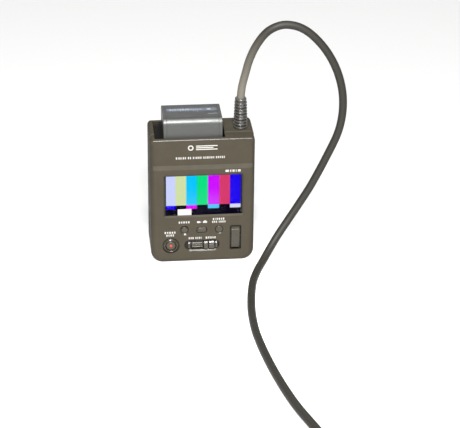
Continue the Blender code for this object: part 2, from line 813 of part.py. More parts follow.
def left_side():
    flap("jack_cover", JACK_Z, True)
    flap("card_door", CARD_Z, False)

    jacks = box("jack_block", (-37.6, -26.0), depths(20.5, 34.0), (52.0, 73.8), "dark_plastic")
    sockets = [
        rod("av_cut", (-39, y_at(27.2), 69.6), (1, 0, 0), 11, 1.9, steps=16),
        box("data_cut", (-39, -30), around(y_at(27.2), 3.2), around(62.2, 8.0)),
        rod("headphone_cut", (-39, y_at(27.2), 55.2), (1, 0, 0), 11, 1.8, steps=16),
    ]
    cut(jacks, *sockets)

    holder = box("card_slot", (-37.3, -3.5), depths(25.2, 29.4), (16.0, 38.6), "steel")
    cut(holder, box("slot_cut", (-39, -5.0), depths(26.2, 28.4), (17.2, 37.4)))
    card = box("memory_card", (-37.9, -7.2), depths(26.5, 28.1), (17.5, 37.1), "dark_plastic")
    body("memory_card", (-37.9, y_at(27.3), 27.3), [card])


# ---------------------------------------------------------------- back and right side


def back_pieces():
    for i, (x, z) in enumerate(SCREWS):
        profile = ((0, 0), (0, 2.6), (0.8, 2.6), (0.8, 1.15), (11.6, 1.15), (11.6, 0))
        head_top = (x, y_at(CASE_DEPTH - 0.1), z)
        screw = turned(f"rear_screw_{i + 1}", head_top, (0, -1, 0), profile, "steel", steps=12)
        driver = [
            box(f"driver_{i}_{j}", around(x, w), depths(CASE_DEPTH - 0.6, CASE_DEPTH + 1), around(z, h))
            for j, (w, h) in enumerate(((2.6, 0.6), (0.6, 2.6)))
        ]
        cut(screw, *driver)

    cone = ((0, 0), (0, 8.6), (1.2, 8.6), (3.9, 8.0), (3.9, 0))
    turned("speaker", (SPEAKER_X, y_at(38.6), SPEAKER_Z), (0, -1, 0), cone, "dark_plastic")

    mouth = (TRIPOD_X, y_at(CASE_DEPTH - 0.1), TRIPOD_Z)
    insert = rod("tripod_socket", mouth, (0, -1, 0), 7.0, 4.9, "brass")
    collar = rod("tripod_collar", (TRIPOD_X, y_at(38.7), TRIPOD_Z), (0, -1, 0), 1.7, 7.0)
    join(insert, collar)
    cut(insert, rod("thread_cut", (TRIPOD_X, y_at(CASE_DEPTH + 1), TRIPOD_Z), (0, -1, 0), 6.5, 3.2))


def power_switch():
    """A knob at the low end of its slot, on a plate behind the wall."""
    y, knob_z = y_at(POWER_DEPTH), POWER_Z - POWER_TRAVEL / 2
    knob_x = (37.5, HALF_WIDTH - 0.1)
    knob = box("power_switch", knob_x, around(y, 3.8), around(knob_z, 6.0), "button_plastic")
    foot = box("switch_foot", (36.4, 38.0), around(y, 7.0), around(knob_z, 9.0))
    join(knob, foot)
    body("power_switch", (HALF_WIDTH, y, knob_z), [knob])


# ---------------------------------------------------------------- lead


def smooth_curve(points, pieces_each=12):
    """Points along a curve that runs smoothly through the given points."""
    points = [Vector(point) for point in points]
    ends = [points[0] * 2 - points[1], *points, points[-1] * 2 - points[-2]]
    curve = []
    for a, b, c, d in zip(ends, ends[1:], ends[2:], ends[3:]):
        span = (c - b).length
        leave = (c - a) / ((c - b).length + (b - a).length) * span
        arrive = (d - b) / ((d - c).length + span) * span
        for i in range(pieces_each):
            t = i / pieces_each
            t2, t3 = t * t, t * t * t
            start = b * (2 * t3 - 3 * t2 + 1) + leave * (t3 - 2 * t2 + t)
            curve.append(start + c * (3 * t2 - 2 * t3) + arrive * (t3 - t2))
    curve.append(points[-1])
    return curve


def evenly(points, step):
    """The same line with a point about every step."""
    lengths = [0.0]
    for a, b in zip(points, points[1:]):
        lengths.append(lengths[-1] + (b - a).length)
    count = max(2, round(lengths[-1] / step))
    found, at = [], 0
    for i in range(count + 1):
        wanted = lengths[-1] * i / count
        while at < len(points) - 2 and lengths[at + 1] < wanted:
            at += 1
        share = (wanted - lengths[at]) / (lengths[at + 1] - lengths[at])
        found.append(points[at].lerp(points[at + 1], share))
    return found


def tube(name, points, radius, look_name):
    curve = bpy.data.curves.new(name, "CURVE")
    curve.dimensions = "3D"
    curve.bevel_depth = radius * MM
    curve.bevel_resolution = 2
    curve.use_fill_caps = True
    spline = curve.splines.new("POLY")
    spline.points.add(len(points) - 1)
    for point, place in zip(spline.points, points):
        point.co = (*(place * MM), 1.0)
    curve.materials.append(look(look_name))
    made = bpy.data.objects.new(name, curve)
    bpy.context.scene.collection.objects.link(made)
    return made


def strain_relief():
    """A ribbed sleeve, with a foot under the top wall."""
    profile = [(0, 0), (0, 6.8), (3.0, 6.8), (3.0, 4.7), (6.0, 4.7)]
    first_rib, ribs, pitch = 6.3, 9, 2.5
    for i in range(ribs):
        low = first_rib + pitch * i
        radius = 5.5 - 0.6 * i / (ribs - 1)
        groove = radius - 1.1
        profile += [(low, radius), (low + 1.4, radius), (low + 1.6, groove), (low + pitch - 0.1, groove)]
    length = RELIEF_TOP - RELIEF_FOOT
    profile[-1] = (length, profile[-1][1])
    profile.append((length, 0))
    turned("strain_relief", (RELIEF_X, RELIEF_Y, RELIEF_FOOT), (0, 0, 1), profile, "rubber", steps=16)
    turned(
        "cable_gland",
        (RELIEF_X, RELIEF_Y, 90.0),
        (0, 0, 1),
        ((0, 0), (0, 4.4), (6, 4.4), (6, 6.2), (10.7, 6.2), (10.7, 0)),
        "steel",
        steps=12,
    )


def clear_of_coil(point):
    reach = COIL_MIDDLE_RADIUS + 3 * CORD_RADIUS + CORD_RADIUS + 0.5
    return math.dist(point[:2], COIL_CENTRE) > reach


def cord():
    spacing = 4.6 * CORD_RADIUS
    line = [point for point in smooth_curve(ROUTE) if clear_of_coil(point)]
    tube("cable", evenly(line, spacing), CORD_RADIUS, "cord_jacket")
    tube("cable_tail", evenly(smooth_curve(TAIL), 2 * CORD_RADIUS), CORD_RADIUS, "cord_jacket")

    inner, outer = COIL_MIDDLE_RADIUS - 3 * CORD_RADIUS, COIL_MIDDLE_RADIUS + 3 * CORD_RADIUS
    height = COIL_LAYERS * 2 * CORD_RADIUS
    edge = 3.0
    profile = (
        (0, inner + edge),
        (0, outer - edge),
        (edge, outer),
        (height - edge, outer),
        (height, outer - edge),
        (height, inner + edge),
        (height - edge, inner),
        (edge, inner),
    )
    start = (*COIL_CENTRE, COIL_BASE)
    turned("cable_coil", start, (0, 0, 1), profile, "cord_jacket", closed=True, steps=40)

    gap = 0.35
    x = (COIL_CENTRE[0] - outer - gap, COIL_CENTRE[0] - inner + 1.2)
    y = around(COIL_CENTRE[1], TIE_WIDTH)
    z = (COIL_BASE - GAP, COIL_BASE + height + gap)
    grown = (
        (x[0] - TIE_THICKNESS, x[1] + TIE_THICKNESS),
        (z[0] - TIE_THICKNESS, z[1] + TIE_THICKNESS),
    )
    tie = box("cable_tie", grown[0], y, grown[1], "rubber")
    cut(tie, box("tie_cut", x, (y[0] - 1, y[1] + 1), z))


def plug():
    """A round locking connector: boot, shell, ring that turns, and contact insert."""
    start = (PLUG_START_X, PLUG_Y, PLUG_Z)
    boot = ((0, 0), (0, 4.0), (14, 5.6), (20, 5.6), (20, 0))
    turned("connector_boot", start, (-1, 0, 0), boot, "rubber", steps=16)
    grip = ((20.3, 0), (20.3, 7.2), (23, 7.8), (33, 7.8))
    nose = ((33, 6.6), (44, 6.6), (44, 5.6), (34, 5.6), (34, 0))
    turned("connector_shell", start, (-1, 0, 0), grip + nose, "steel", steps=24)
    ring = ((33.4, 6.95), (33.4, 9.0), (42, 9.0), (42, 6.95))
    locking_ring = turned("connector_ring", start, (-1, 0, 0), ring, "steel", closed=True, steps=24)
    body("connector_ring", (PLUG_START_X - 37.7, PLUG_Y, PLUG_Z), [locking_ring])
    insert = ((34.3, 0), (34.3, 5.2), (42.5, 5.2), (42.5, 0))
    turned("connector_insert", start, (-1, 0, 0), insert, "dark_plastic", steps=16)


def main():
    for obj in list(bpy.data.objects):
        bpy.data.objects.remove(obj)
    front_cover()
    rear_cover()
    display_stack()
    chassis_plate()
    switch_board()
    main_board()
    start_stop()
    round_button("photo_button", PHOTO_X, PHOTO_Z, 2.6, -0.2, "button_plastic")
    mode_button()
    round_button("display_button", DISPLAY_X, DISPLAY_Z, 2.85, -0.2, "button_plastic")
    control_strip()
    control_dial()
    zoom_rocker()
    battery_bay()
    battery()
    battery_release()
    left_side()
    back_pieces()
    power_switch()
    strain_relief()
    cord()
    plug()
    for obj in bpy.data.objects:
        if obj.type == "MESH":
            obj.data.shade_smooth()
            obj.data.set_sharp_from_angle(angle=math.radians(35))


main()
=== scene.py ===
"""Looks for the video recorder control unit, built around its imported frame.

Sizes and places are in millimetres unless a comment says otherwise; MM turns them into
Blender's metres. X runs to the right, Y away from the front face and Z up. A depth is a
distance behind a face, and a node's place comes from the frame's own boxes.
"""

import json
import math

import bmesh
import bpy
from mathutils import Matrix, Vector


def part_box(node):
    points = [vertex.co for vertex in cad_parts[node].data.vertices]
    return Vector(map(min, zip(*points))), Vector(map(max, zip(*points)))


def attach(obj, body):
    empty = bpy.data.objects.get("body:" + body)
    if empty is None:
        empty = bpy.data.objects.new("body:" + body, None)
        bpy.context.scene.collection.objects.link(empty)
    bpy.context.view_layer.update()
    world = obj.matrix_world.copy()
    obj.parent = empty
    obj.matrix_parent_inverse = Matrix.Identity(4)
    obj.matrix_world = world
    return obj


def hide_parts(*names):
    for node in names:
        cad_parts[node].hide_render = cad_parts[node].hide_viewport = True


MM = 0.001
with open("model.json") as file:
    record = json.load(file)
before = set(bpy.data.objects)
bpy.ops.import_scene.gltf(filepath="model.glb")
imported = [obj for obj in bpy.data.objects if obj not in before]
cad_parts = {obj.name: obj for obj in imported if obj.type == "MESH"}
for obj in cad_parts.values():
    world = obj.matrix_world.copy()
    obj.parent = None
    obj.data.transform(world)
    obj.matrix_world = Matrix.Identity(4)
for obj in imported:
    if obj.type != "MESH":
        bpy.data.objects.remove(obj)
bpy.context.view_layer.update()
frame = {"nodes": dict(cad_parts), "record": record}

# Camera: its place in metres, its directions, and its lens and sensor.
CAMERA_PLACE = (-0.10742, -1.25897, 0.67483)
CAMERA_FORWARD = (0.09201, 0.88667, -0.45316)
CAMERA_UP = (0.03665, 0.45177, 0.89138)
CAMERA_LENS = 140.9
CAMERA_SENSOR = 36.0

# Lead: the centreline from the strain relief to where the coil begins.
CORD_RADIUS = 3.1
ROUTE = (
    (30.6, 0.5, 129.8), (30.8, 0.5, 134.0), (31.7, 0.5, 141.0), (33.9, 0.3, 150.5),
    (37.1, 0.0, 162.5), (42.8, -0.4, 175.0), (51.2, -1.0, 185.3), (63.2, -1.5, 189.8),
    (77.4, -2.0, 186.0), (91.4, -2.5, 173.2), (102.0, -3.0, 156.0), (108.0, -3.0, 137.0),
    (109.3, -3.0, 119.0), (106.6, -3.0, 101.5), (99.0, -3.2, 82.5), (86.2, -4.0, 56.0),
    (77.5, -5.5, 41.8), (68.3, -8.5, 28.6), (59.4, -13.6, 17.4), (51.8, -21.5, 9.0),
    (45.6, -31.5, 4.4), (40.6, -42.5, 3.15), (35.3, -60.0, 3.12), (31.2, -85.0, 3.12),
    (29.0, -112.0, 3.12), (29.6, -142.0, 3.12), (35.4, -187.0, 3.12), (44.4, -230.0, 3.12),
    (54.2, -261.0, 3.12), (64.6, -292.0, 3.6), (77.7, -330.6, 4.2),
)
TAIL = (
    (8.6, -384.6, 17.8), (0.0, -384.6, 13.4), (-8.0, -384.6, 10.3), (-15.0, -384.6, 9.2),
    (-22.0, -384.6, 9.1),
)
COIL_CENTRE = (38.0, -345.0)
COIL_OUTER, COIL_INNER = 42.2, 29.8
COIL_LAYERS = (4.2, 10.4, 16.6, 22.8)
COIL_START_DEGREES = 20.0
TURNS_EACH_LAYER = 2.0
TURNS_EACH_RISE = 0.25
COIL_TURNS = 8.3056

# Case. The outline's corners are seen from the front, the edges from the side.
BOTTOM_CORNER = 9.5
TOP_CORNER = 3.0
FRONT_EDGE = 5.0
REAR_EDGE = 3.6
WALL = 2.0
GAP = 0.3
SEAM_EDGE = 0.5
PANEL_DEPTH = 2.5
PANEL_RIM = 2.0
SLOPE_TOP = 83.5
SLOPE_BOTTOM = 80.3
SCREEN_LIP = 1.3
SCREEN_LIP_DEPTH = 1.1
BAY_LIP = 0.5
FLUSH = 0.002  # how far a cutter's mouth stands off the face that it meets
PRINT = 0.03  # how far a printed mark stands off its face, and goes into it
BAY_CORNER = 0.8
TOP_EDGE = 1.1  # radius of the panel's top edge
TRIM_PROUD, TRIM_UNDER = 0.02, 0.3  # how far a polished trim stands off its slope, and goes into it
BATTERY_EDGE = 5.0
DIAL_LEFT, DIAL_LENGTH = -8.9, 9.3
MANUAL_SIZE = (4.3, 6.1)
RELEASE_SIZE, RELEASE_TRAVEL = (9.0, 6.2), 2.5
POWER_SIZE, POWER_TRAVEL, POWER_SLOT = (3.8, 6.0), 6.0, (4.6, 13.6)
REAR_SCREWS = tuple(f"rear_screw_{i}" for i in range(1, 5))
FROM_FRONT, FROM_BACK = (0, 1, 0), (0, -1, 0)  # into the case
WHITE = (1.0, 1.0, 1.0, 1.0)


# ---------------------------------------------------------------- places


def low(node):
    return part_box(node)[0] / MM


def high(node):
    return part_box(node)[1] / MM


def middle(node):
    return (low(node) + high(node)) / 2


def extent(node):
    return high(node) - low(node)


def depths(node):
    """How far behind the front face a node starts and ends."""
    return (low(node).y - FRONT_Y, high(node).y - FRONT_Y)


HALF_WIDTH = high("front_cover").x
PANEL_X = (-HALF_WIDTH + PANEL_RIM, HALF_WIDTH - PANEL_RIM)
FRONT_TOP = high("front_cover").z
REAR_TOP = high("rear_cover").z
FRONT_Y = low("front_cover").y
BACK_Y = high("rear_cover").y
CASE_DEPTH = BACK_Y - FRONT_Y
FRONT_SEAM = high("front_cover").y - FRONT_Y
REAR_SEAM = low("rear_cover").y - FRONT_Y
SCREEN_BORDER = 1.1  # how far the window's pane runs under the cover on each side
SCREEN_X, SCREEN_Z = middle("lcd_window").xz
SCREEN_WIDTH = extent("lcd_window").x - 2 * SCREEN_BORDER
SCREEN_HEIGHT = extent("lcd_window").z - 2 * SCREEN_BORDER
BAY_WALL = 1.2
BAY_X = (low("battery_bay").x + BAY_WALL, high("battery_bay").x - BAY_WALL)
BAY_Y = (low("battery_bay").y + BAY_WALL, high("battery_bay").y - BAY_WALL)


def y_at(depth):
    """Y of a plane this far behind the front face."""
    return FRONT_Y + depth


def around(centre, size):
    return (centre - size / 2, centre + size / 2)


# Each of these turns a flat place (a, b) and a depth into a point: a face's own map.


def on_front(a, b, depth):
    return (a, FRONT_Y + depth, b)


def on_panel(a, b, depth):
    return (a, FRONT_Y + PANEL_DEPTH + depth, b)


def on_back(a, b, depth):
    return (a, BACK_Y - depth, b)


def on_left(a, b, depth):
    return (-HALF_WIDTH + depth, a, b)


def on_right(a, b, depth):
    return (HALF_WIDTH - depth, a, b)


def on_front_top(a, b, depth):
    return (a, b, FRONT_TOP - depth)


def on_rear_top(a, b, depth):
    return (a, b, REAR_TOP - depth)


def along_x(a, b, at):
    return (at, a, b)


def along_y(a, b, at):
    return (a, at, b)


def along_z(a, b, at):
    return (a, b, at)


# ---------------------------------------------------------------- shapes


def from_shape(name, shape):
    """An object from a bmesh in millimetres, with its faces turned out."""
    bmesh.ops.recalc_face_normals(shape, faces=shape.faces)
    shape.transform(Matrix.Scale(MM, 4))
    mesh = bpy.data.meshes.new(name)
    shape.to_mesh(mesh)
    shape.free()
    made = bpy.data.objects.new(name, mesh)
    bpy.context.scene.collection.objects.link(made)
    return made


def add_skin(shape, rings, closed=False):
    """Adds a solid skinned over rings of points to a bmesh. A ring of one point is a tip."""
    loops = [[shape.verts.new(point) for point in ring] for ring in rings]
    pairs = list(zip(loops, loops[1:]))
    if closed:
        pairs.append((loops[-1], loops[0]))
    for first, second in pairs:
        count = max(len(first), len(second))
        for i in range(count):
            corners = [
                first[i % len(first)],
                first[(i + 1) % len(first)],
                second[(i + 1) % len(second)],
                second[i % len(second)],
            ]
            shape.faces.new(list(dict.fromkeys(corners)))
    if not closed:
        for cap in (loops[0], loops[-1]):
            if len(cap) > 2:
                shape.faces.new(cap)


def skin(name, rings, closed=False):
    shape = bmesh.new()
    add_skin(shape, rings, closed)
    return from_shape(name, shape)


def box(name, x, y, z):
    outline = ((x[0], y[0]), (x[1], y[0]), (x[1], y[1]), (x[0], y[1]))
    return prism(name, along_z, outline, z)


def node_box(name, node):
    """A box as large as a node's own."""
    return box(name, *zip(low(node), high(node)))


def turns(first, last, steps):
    """Angles from one to another, which are given in degrees."""
    return [math.radians(first + (last - first) * i / steps) for i in range(steps + 1)]


def polar(centre, radius, turn):
    return (centre[0] + radius * math.cos(turn), centre[1] + radius * math.sin(turn))


def spokes(start, direction, along, radii):
    """A ring of points about an axis, one for each radius."""
    turn = Vector((0, 0, 1)).rotation_difference(Vector(direction)).to_matrix()
    angles = [math.tau * i / len(radii) for i in range(len(radii))]
    ring = [(*polar((0, 0), radius, angle), along) for radius, angle in zip(radii, angles)]
    return [Vector(start) + turn @ Vector(point) for point in ring]


def turned(name, start, direction, profile, closed=False, steps=64):
    """A solid of revolution. The profile is (distance along, radius) from the start point."""
    rings = []
    for along, radius in profile:
        radii = [radius] * steps if radius else [0]
        rings.append(spokes(start, direction, along, radii))
    return skin(name, rings, closed)


def fluted(name, start, direction, profile, flutes, closed=False, steps_each=6, width=1.0):
    """A turned piece with grooves along it. The profile is (distance along, radius, groove depth).

    The width is a groove's share of the way from one groove to the next.
    """
    wave = []
    for i in range(steps_each):
        from_middle = abs(i / steps_each - round(i / steps_each))
        wave.append(0.5 + 0.5 * math.cos(math.pi * min(2 * from_middle / width, 1.0)))
    rings = []
    for along, radius, groove in profile:
        radii = [radius - groove * share for share in wave] * flutes if radius else [0]
        rings.append(spokes(start, direction, along, radii))
    return skin(name, rings, closed)


def rod(name, start, direction, length, radius, steps=48):
    return turned(name, start, direction, ((0, radius), (length, radius)), steps=steps)


def prism(name, face, outline, ends):
    """An outline on a face's map, carried from one depth to another."""
    return skin(name, [layer(face, outline, at) for at in ends])


def tube(name, face, outer, inner, ends):
    """A band between two outlines of as many points, from one depth to another."""
    order = ((outer, ends[0]), (outer, ends[1]), (inner, ends[1]), (inner, ends[0]))
    return skin(name, [layer(face, outline, at) for outline, at in order], closed=True)


def softened(points, steps=6):
    """A closed 2-D outline whose corners are rounded. Each point is (a, b) or (a, b, radius)."""
    found = []
    for i, point in enumerate(points):
        at = Vector(point[:2])
        radius = point[2] if len(point) > 2 else 0
        if not radius:
            found.append(tuple(at))
            continue
        before = (Vector(points[i - 1][:2]) - at).normalized()
        after = (Vector(points[(i + 1) % len(points)][:2]) - at).normalized()
        half = before.angle(after) / 2
        centre = at + (before + after).normalized() * (radius / math.sin(half))
        start = at + before * (radius / math.tan(half)) - centre
        end = at + after * (radius / math.tan(half)) - centre
        first = math.atan2(start.y, start.x)
        sweep = (math.atan2(end.y, end.x) - first + math.pi) % math.tau - math.pi
        found += [polar(centre, radius, first + sweep * j / steps) for j in range(steps + 1)]
    return found


def quarter(radius, steps=6):
    """A rounded edge's (inset, depth) pairs, from the face it starts on to the side it turns onto."""
    return [(radius * (1 - math.sin(turn)), radius * (1 - math.cos(turn))) for turn in turns(0, 90, steps)]


def rounded_rectangle(x, z, bottom_radius, top_radius=None, steps=8):
    top_radius = bottom_radius if top_radius is None else top_radius
    corners = (
        (x[0] + bottom_radius, z[0] + bottom_radius, bottom_radius, 180),
        (x[1] - bottom_radius, z[0] + bottom_radius, bottom_radius, 270),
        (x[1] - top_radius, z[1] - top_radius, top_radius, 0),
        (x[0] + top_radius, z[1] - top_radius, top_radius, 90),
    )
    outline = []
    for centre_x, centre_z, radius, first in corners:
        outline += [polar((centre_x, centre_z), radius, turn) for turn in turns(first, first + 90, steps)]
    return outline


def rectangle(centre, size, radius, steps=8):
    """A rounded rectangle's outline at any inset."""

    def outline_at(inset):
        a = around(centre[0], size[0] - 2 * inset)
        b = around(centre[1], size[1] - 2 * inset)
        return rounded_rectangle(a, b, max(radius - inset, 0.05), steps=steps)

    return outline_at


def circle(centre, radius, steps=64):
    """A circle's outline at any inset."""

    def outline_at(inset):
        return [polar(centre, radius - inset, math.tau * i / steps) for i in range(steps)]

    return outline_at


def case_outline(top):
    """The case's outline, seen from the front, at any inset."""

    def outline_at(inset):
        x, z = (-HALF_WIDTH + inset, HALF_WIDTH - inset), (inset, top - inset)
        bottom_radius, top_radius = max(BOTTOM_CORNER - inset, 0.3), max(TOP_CORNER - inset, 0.3)
        return rounded_rectangle(x, z, bottom_radius, top_radius, steps=12)

    return outline_at


def layer(face, outline, depth):
    return [face(a, b, depth) for a, b in outline]


def block(name, face, outline_at, front, back, front_edge=0.0, back_edge=0.0, steps=4):
    """A solid behind a face, between two depths, with its front and back edges rounded."""
    rings = [layer(face, outline_at(inset), front + depth) for inset, depth in quarter(front_edge, steps)]
    for inset, depth in quarter(back_edge, steps)[::-1]:
        rings.append(layer(face, outline_at(inset), back - depth))
    if not front_edge:
        rings = rings[steps:]
    if not back_edge:
        rings = rings[:-steps]
    return skin(name, rings)


def mouth(name, face, outline_at, lip, deep, steps=5):
    """A cutter for a hole whose edge is rounded off."""
    rings = [layer(face, outline_at(-lip), -1.0), layer(face, outline_at(-lip), -FLUSH)]
    rings += [layer(face, outline_at(-inset), depth) for inset, depth in quarter(lip, steps)[1:]]
    rings.append(layer(face, outline_at(0), deep))
    return skin(name, rings)


def dish(name, face, outline_at, lip, lip_depth, deep):
    """A cutter for a hole with a sloping edge."""
    rings = [
        layer(face, outline_at(-lip), -1.0),
        layer(face, outline_at(-lip), -FLUSH),
        layer(face, outline_at(0), lip_depth),
        layer(face, outline_at(0), deep),
    ]
    return skin(name, rings)


def baked(obj):
    """Replaces an object's mesh by its modified one."""
    graph = bpy.context.evaluated_depsgraph_get()
    mesh = bpy.data.meshes.new_from_object(obj.evaluated_get(graph))
    obj.modifiers.clear()
    obj.data = mesh
    return obj


def combine(target, operation, others):
    for other in others:
        modifier = target.modifiers.new(operation.lower(), "BOOLEAN")
        modifier.operation = operation
        modifier.solver = "EXACT"
        modifier.object = other
    bpy.context.view_layer.update()
    baked(target)
    for other in others:
        bpy.data.objects.remove(other)
    return target


def cut(target, *tools):
    return combine(target, "DIFFERENCE", tools)


def join(target, *more):
    return combine(target, "UNION", more)


def soft_edges(obj, width, angle=50, segments=3):
    """Rounds the edges that are sharper than the angle."""
    modifier = obj.modifiers.new("soft_edges", "BEVEL")
    modifier.width = width * MM
    modifier.segments = segments
    modifier.limit_method = "ANGLE"
    modifier.angle_limit = math.radians(angle)
    bpy.context.view_layer.update()
    return baked(obj)


def piece(obj, body, slot, *nodes, material=None, angle=35):
    """Shades a piece, gives it its look, and hangs it on its body in place of CAD nodes."""
    obj.data.shade_smooth()
    obj.data.set_sharp_from_angle(angle=math.radians(angle))
    modifier = obj.modifiers.new("even_normals", "WEIGHTED_NORMAL")
    modifier.keep_sharp = True
    obj.data.materials.clear()
    obj.data.materials.append(material or look(slot))
    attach(obj, body)
    if nodes:
        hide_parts(*nodes)
    return obj


def smooth_curve(points, pieces_each=12):
    """Points along a curve that runs smoothly through the given points."""
    points = [Vector(point) for point in points]
    ends = [points[0] * 2 - points[1], *points, points[-1] * 2 - points[-2]]
    curve = []
    for a, b, c, d in zip(ends, ends[1:], ends[2:], ends[3:]):
        span = (c - b).length
        leave = (c - a) / ((c - b).length + (b - a).length) * span
        arrive = (d - b) / ((d - c).length + span) * span
        for i in range(pieces_each):
            t = i / pieces_each
            t2, t3 = t * t, t * t * t
            start = b * (2 * t3 - 3 * t2 + 1) + leave * (t3 - 2 * t2 + t)
            curve.append(start + c * (3 * t2 - 2 * t3) + arrive * (t3 - t2))
    curve.append(points[-1])
    return curve


def evenly(points, step):
    """The same line with a point about every step."""
    lengths = [0.0]
    for a, b in zip(points, points[1:]):
        lengths.append(lengths[-1] + (b - a).length)
    count = max(2, round(lengths[-1] / step))
    found, at = [], 0
    for i in range(count + 1):
        wanted = lengths[-1] * i / count
        while at < len(points) - 2 and lengths[at + 1] < wanted:
            at += 1
        share = (wanted - lengths[at]) / (lengths[at + 1] - lengths[at])
        found.append(points[at].lerp(points[at + 1], share))
    return found


# ---------------------------------------------------------------- camera and light


def camera():
    """A long lens in front of the unit, above it and slightly to its left."""
    forward, up = Vector(CAMERA_FORWARD).normalized(), Vector(CAMERA_UP).normalized()
    right = forward.cross(up).normalized()
    up = right.cross(forward)
    turn = Matrix((right, up, -forward)).transposed().to_4x4()
    data = bpy.data.cameras.new("camera")
    data.lens = CAMERA_LENS
    data.sensor_width = CAMERA_SENSOR
    data.clip_start, data.clip_end = 0.01, 20.0
    made = bpy.data.objects.new("camera", data)
    made.matrix_world = Matrix.Translation(CAMERA_PLACE) @ turn
    bpy.context.scene.collection.objects.link(made)
    bpy.context.scene.camera = made


def area_light(name, place, target, size, watts):
    data = bpy.data.lights.new(name, "AREA")
    data.shape = "RECTANGLE"
    data.size, data.size_y = size
    data.energy = watts
    made = bpy.data.objects.new(name, data)
    direction = Vector(target) - Vector(place)
    made.rotation_mode = "QUATERNION"
    made.rotation_quaternion = direction.to_track_quat("-Z", "Y")
    made.location = place
    bpy.context.scene.collection.objects.link(made)


def studio():
    """A white room: a floor that glows most around the unit, and four soft lights. All in metres."""
    scene = bpy.context.scene
    scene.view_settings.view_transform = "Standard"
    world = bpy.data.worlds.new("studio")
    world.use_nodes = True
    set_inputs(world.node_tree.nodes["Background"], {"Color": WHITE, "Strength": 0.16})
    scene.world = world
    middle_of_unit = (0.0, 0.0, 0.06)
    area_light("key", (-0.08, -1.5, 1.2), middle_of_unit, (0.5, 0.4), 86)
    area_light("high", (-0.12, -0.85, 1.65), middle_of_unit, (0.8, 0.14), 28)
    area_light("top", (0.1, -0.1, 1.7), middle_of_unit, (0.8, 0.5), 4)
    area_light("back", (0.0, 1.6, 0.95), middle_of_unit, (1.2, 0.3), 2.5)

    half = 6.0
    corners = [(-half, -half, 0), (half, -half, 0), (half, half, 0), (-half, half, 0)]
    mesh = bpy.data.meshes.new("floor")
    mesh.from_pydata(corners, [], [(0, 1, 2, 3)])
    floor = bpy.data.objects.new("floor", mesh)
    bpy.context.scene.collection.objects.link(floor)
    material, tree, shader = new_material("floor")
    set_inputs(shader, {"Base Color": (0.35, 0.35, 0.347, 1.0), "Roughness": 0.7, "Emission Color": WHITE})
    glow = remap(tree, distance_from(tree, (0.0, -0.1, 0.0)), (0.05, 0.16), (1.1, 0.38))
    tree.links.new(glow, shader.inputs["Emission Strength"])
    mesh.materials.append(material)


# ---------------------------------------------------------------- lead


def coil_point(turned_so_far):
    """A point on the coil's centreline: layers that spiral in and out, with a rise between them."""
    each = TURNS_EACH_LAYER + TURNS_EACH_RISE
    level = min(int(turned_so_far / each), len(COIL_LAYERS) - 1)
    into = turned_so_far - level * each
    travel = (COIL_OUTER - COIL_INNER) / TURNS_EACH_LAYER * min(into, TURNS_EACH_LAYER)
    radius = COIL_INNER + travel if level % 2 else COIL_OUTER - travel
    height = COIL_LAYERS[level]
    if into > TURNS_EACH_LAYER:
        share = (into - TURNS_EACH_LAYER) / TURNS_EACH_RISE
        height += (COIL_LAYERS[level + 1] - height) * share * share * (3 - 2 * share)
    angle = math.radians(COIL_START_DEGREES) - math.tau * turned_so_far
    return Vector((*polar(COIL_CENTRE, radius, angle), height))


def lead_line():
    """The lead's centreline: its free run, its coil and its tail."""
    points_each_turn = 60
    count = round(COIL_TURNS * points_each_turn)
    coil = [coil_point(COIL_TURNS * i / count) for i in range(count + 1)]
    return evenly(smooth_curve(ROUTE)[:-1] + coil[:-2] + smooth_curve((coil[-1], *TAIL)), 3.0)


def lead():
    """The whole lead as one cord, in place of its three plain CAD solids."""
    line = lead_line()
    curve = bpy.data.curves.new("lead", "CURVE")
    curve.dimensions = "3D"
    curve.bevel_depth = CORD_RADIUS * MM
    curve.bevel_resolution = 6
    curve.use_fill_caps = True
    spline = curve.splines.new("POLY")
    spline.points.add(len(line) - 1)
    for point, place in zip(spline.points, line):
        point.co = (*(place * MM), 1.0)
    made = bpy.data.objects.new("lead", curve)
    bpy.context.scene.collection.objects.link(made)
    curve.materials.append(cord_look())
    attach(made, "case")
    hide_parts("cable", "cable_coil", "cable_tail")


# ---------------------------------------------------------------- materials

# Blotches' size, and the radius of the shader's rounded edges. A rim about that wide is painted paler, partly
# as rubbed wear and partly as a painted highlight.
BLOTCH_SIZE, EDGE_ROUNDING = 9.0, 0.3


def linear(red, green, blue):
    """A colour in 0 to 255 steps, as light."""
    return tuple((value / 255) ** 2.2 for value in (red, green, blue))


def shades(colour, factor):
    return (*(min(value * factor, 1.0) for value in colour), 1.0)


def add_node(tree, kind, **values):
    made = tree.nodes.new(kind)
    for name, value in values.items():
        if name in made.inputs:
            made.inputs[name].default_value = value
        else:
            setattr(made, name, value)
    return made


def set_inputs(node, values):
    for name, value in values.items():
        node.inputs[name].default_value = value


def new_material(name):
    """A material with its tree and its shader."""
    made = bpy.data.materials.new(name)
    made.use_nodes = True
    return made, made.node_tree, made.node_tree.nodes["Principled BSDF"]


def place_on_object(tree):
    return add_node(tree, "ShaderNodeTexCoord").outputs["Object"]


def distance_from(tree, point):
    """How far a place on the object is from a point, both in metres."""
    away = add_node(tree, "ShaderNodeVectorMath", operation="DISTANCE")
    away.inputs[1].default_value = point
    tree.links.new(place_on_object(tree), away.inputs[0])
    return away.outputs["Value"]


def noise(tree, place, size, detail=2.0, stretch=(1.0, 1.0, 1.0)):
    """A noise whose features are about size millimetres."""
    spread = add_node(tree, "ShaderNodeMapping", Scale=stretch)
    tree.links.new(place, spread.inputs["Vector"])
    made = add_node(tree, "ShaderNodeTexNoise", Scale=1 / (size * MM), Detail=detail)
    tree.links.new(spread.outputs["Vector"], made.inputs["Vector"])
    return made.outputs["Fac"]


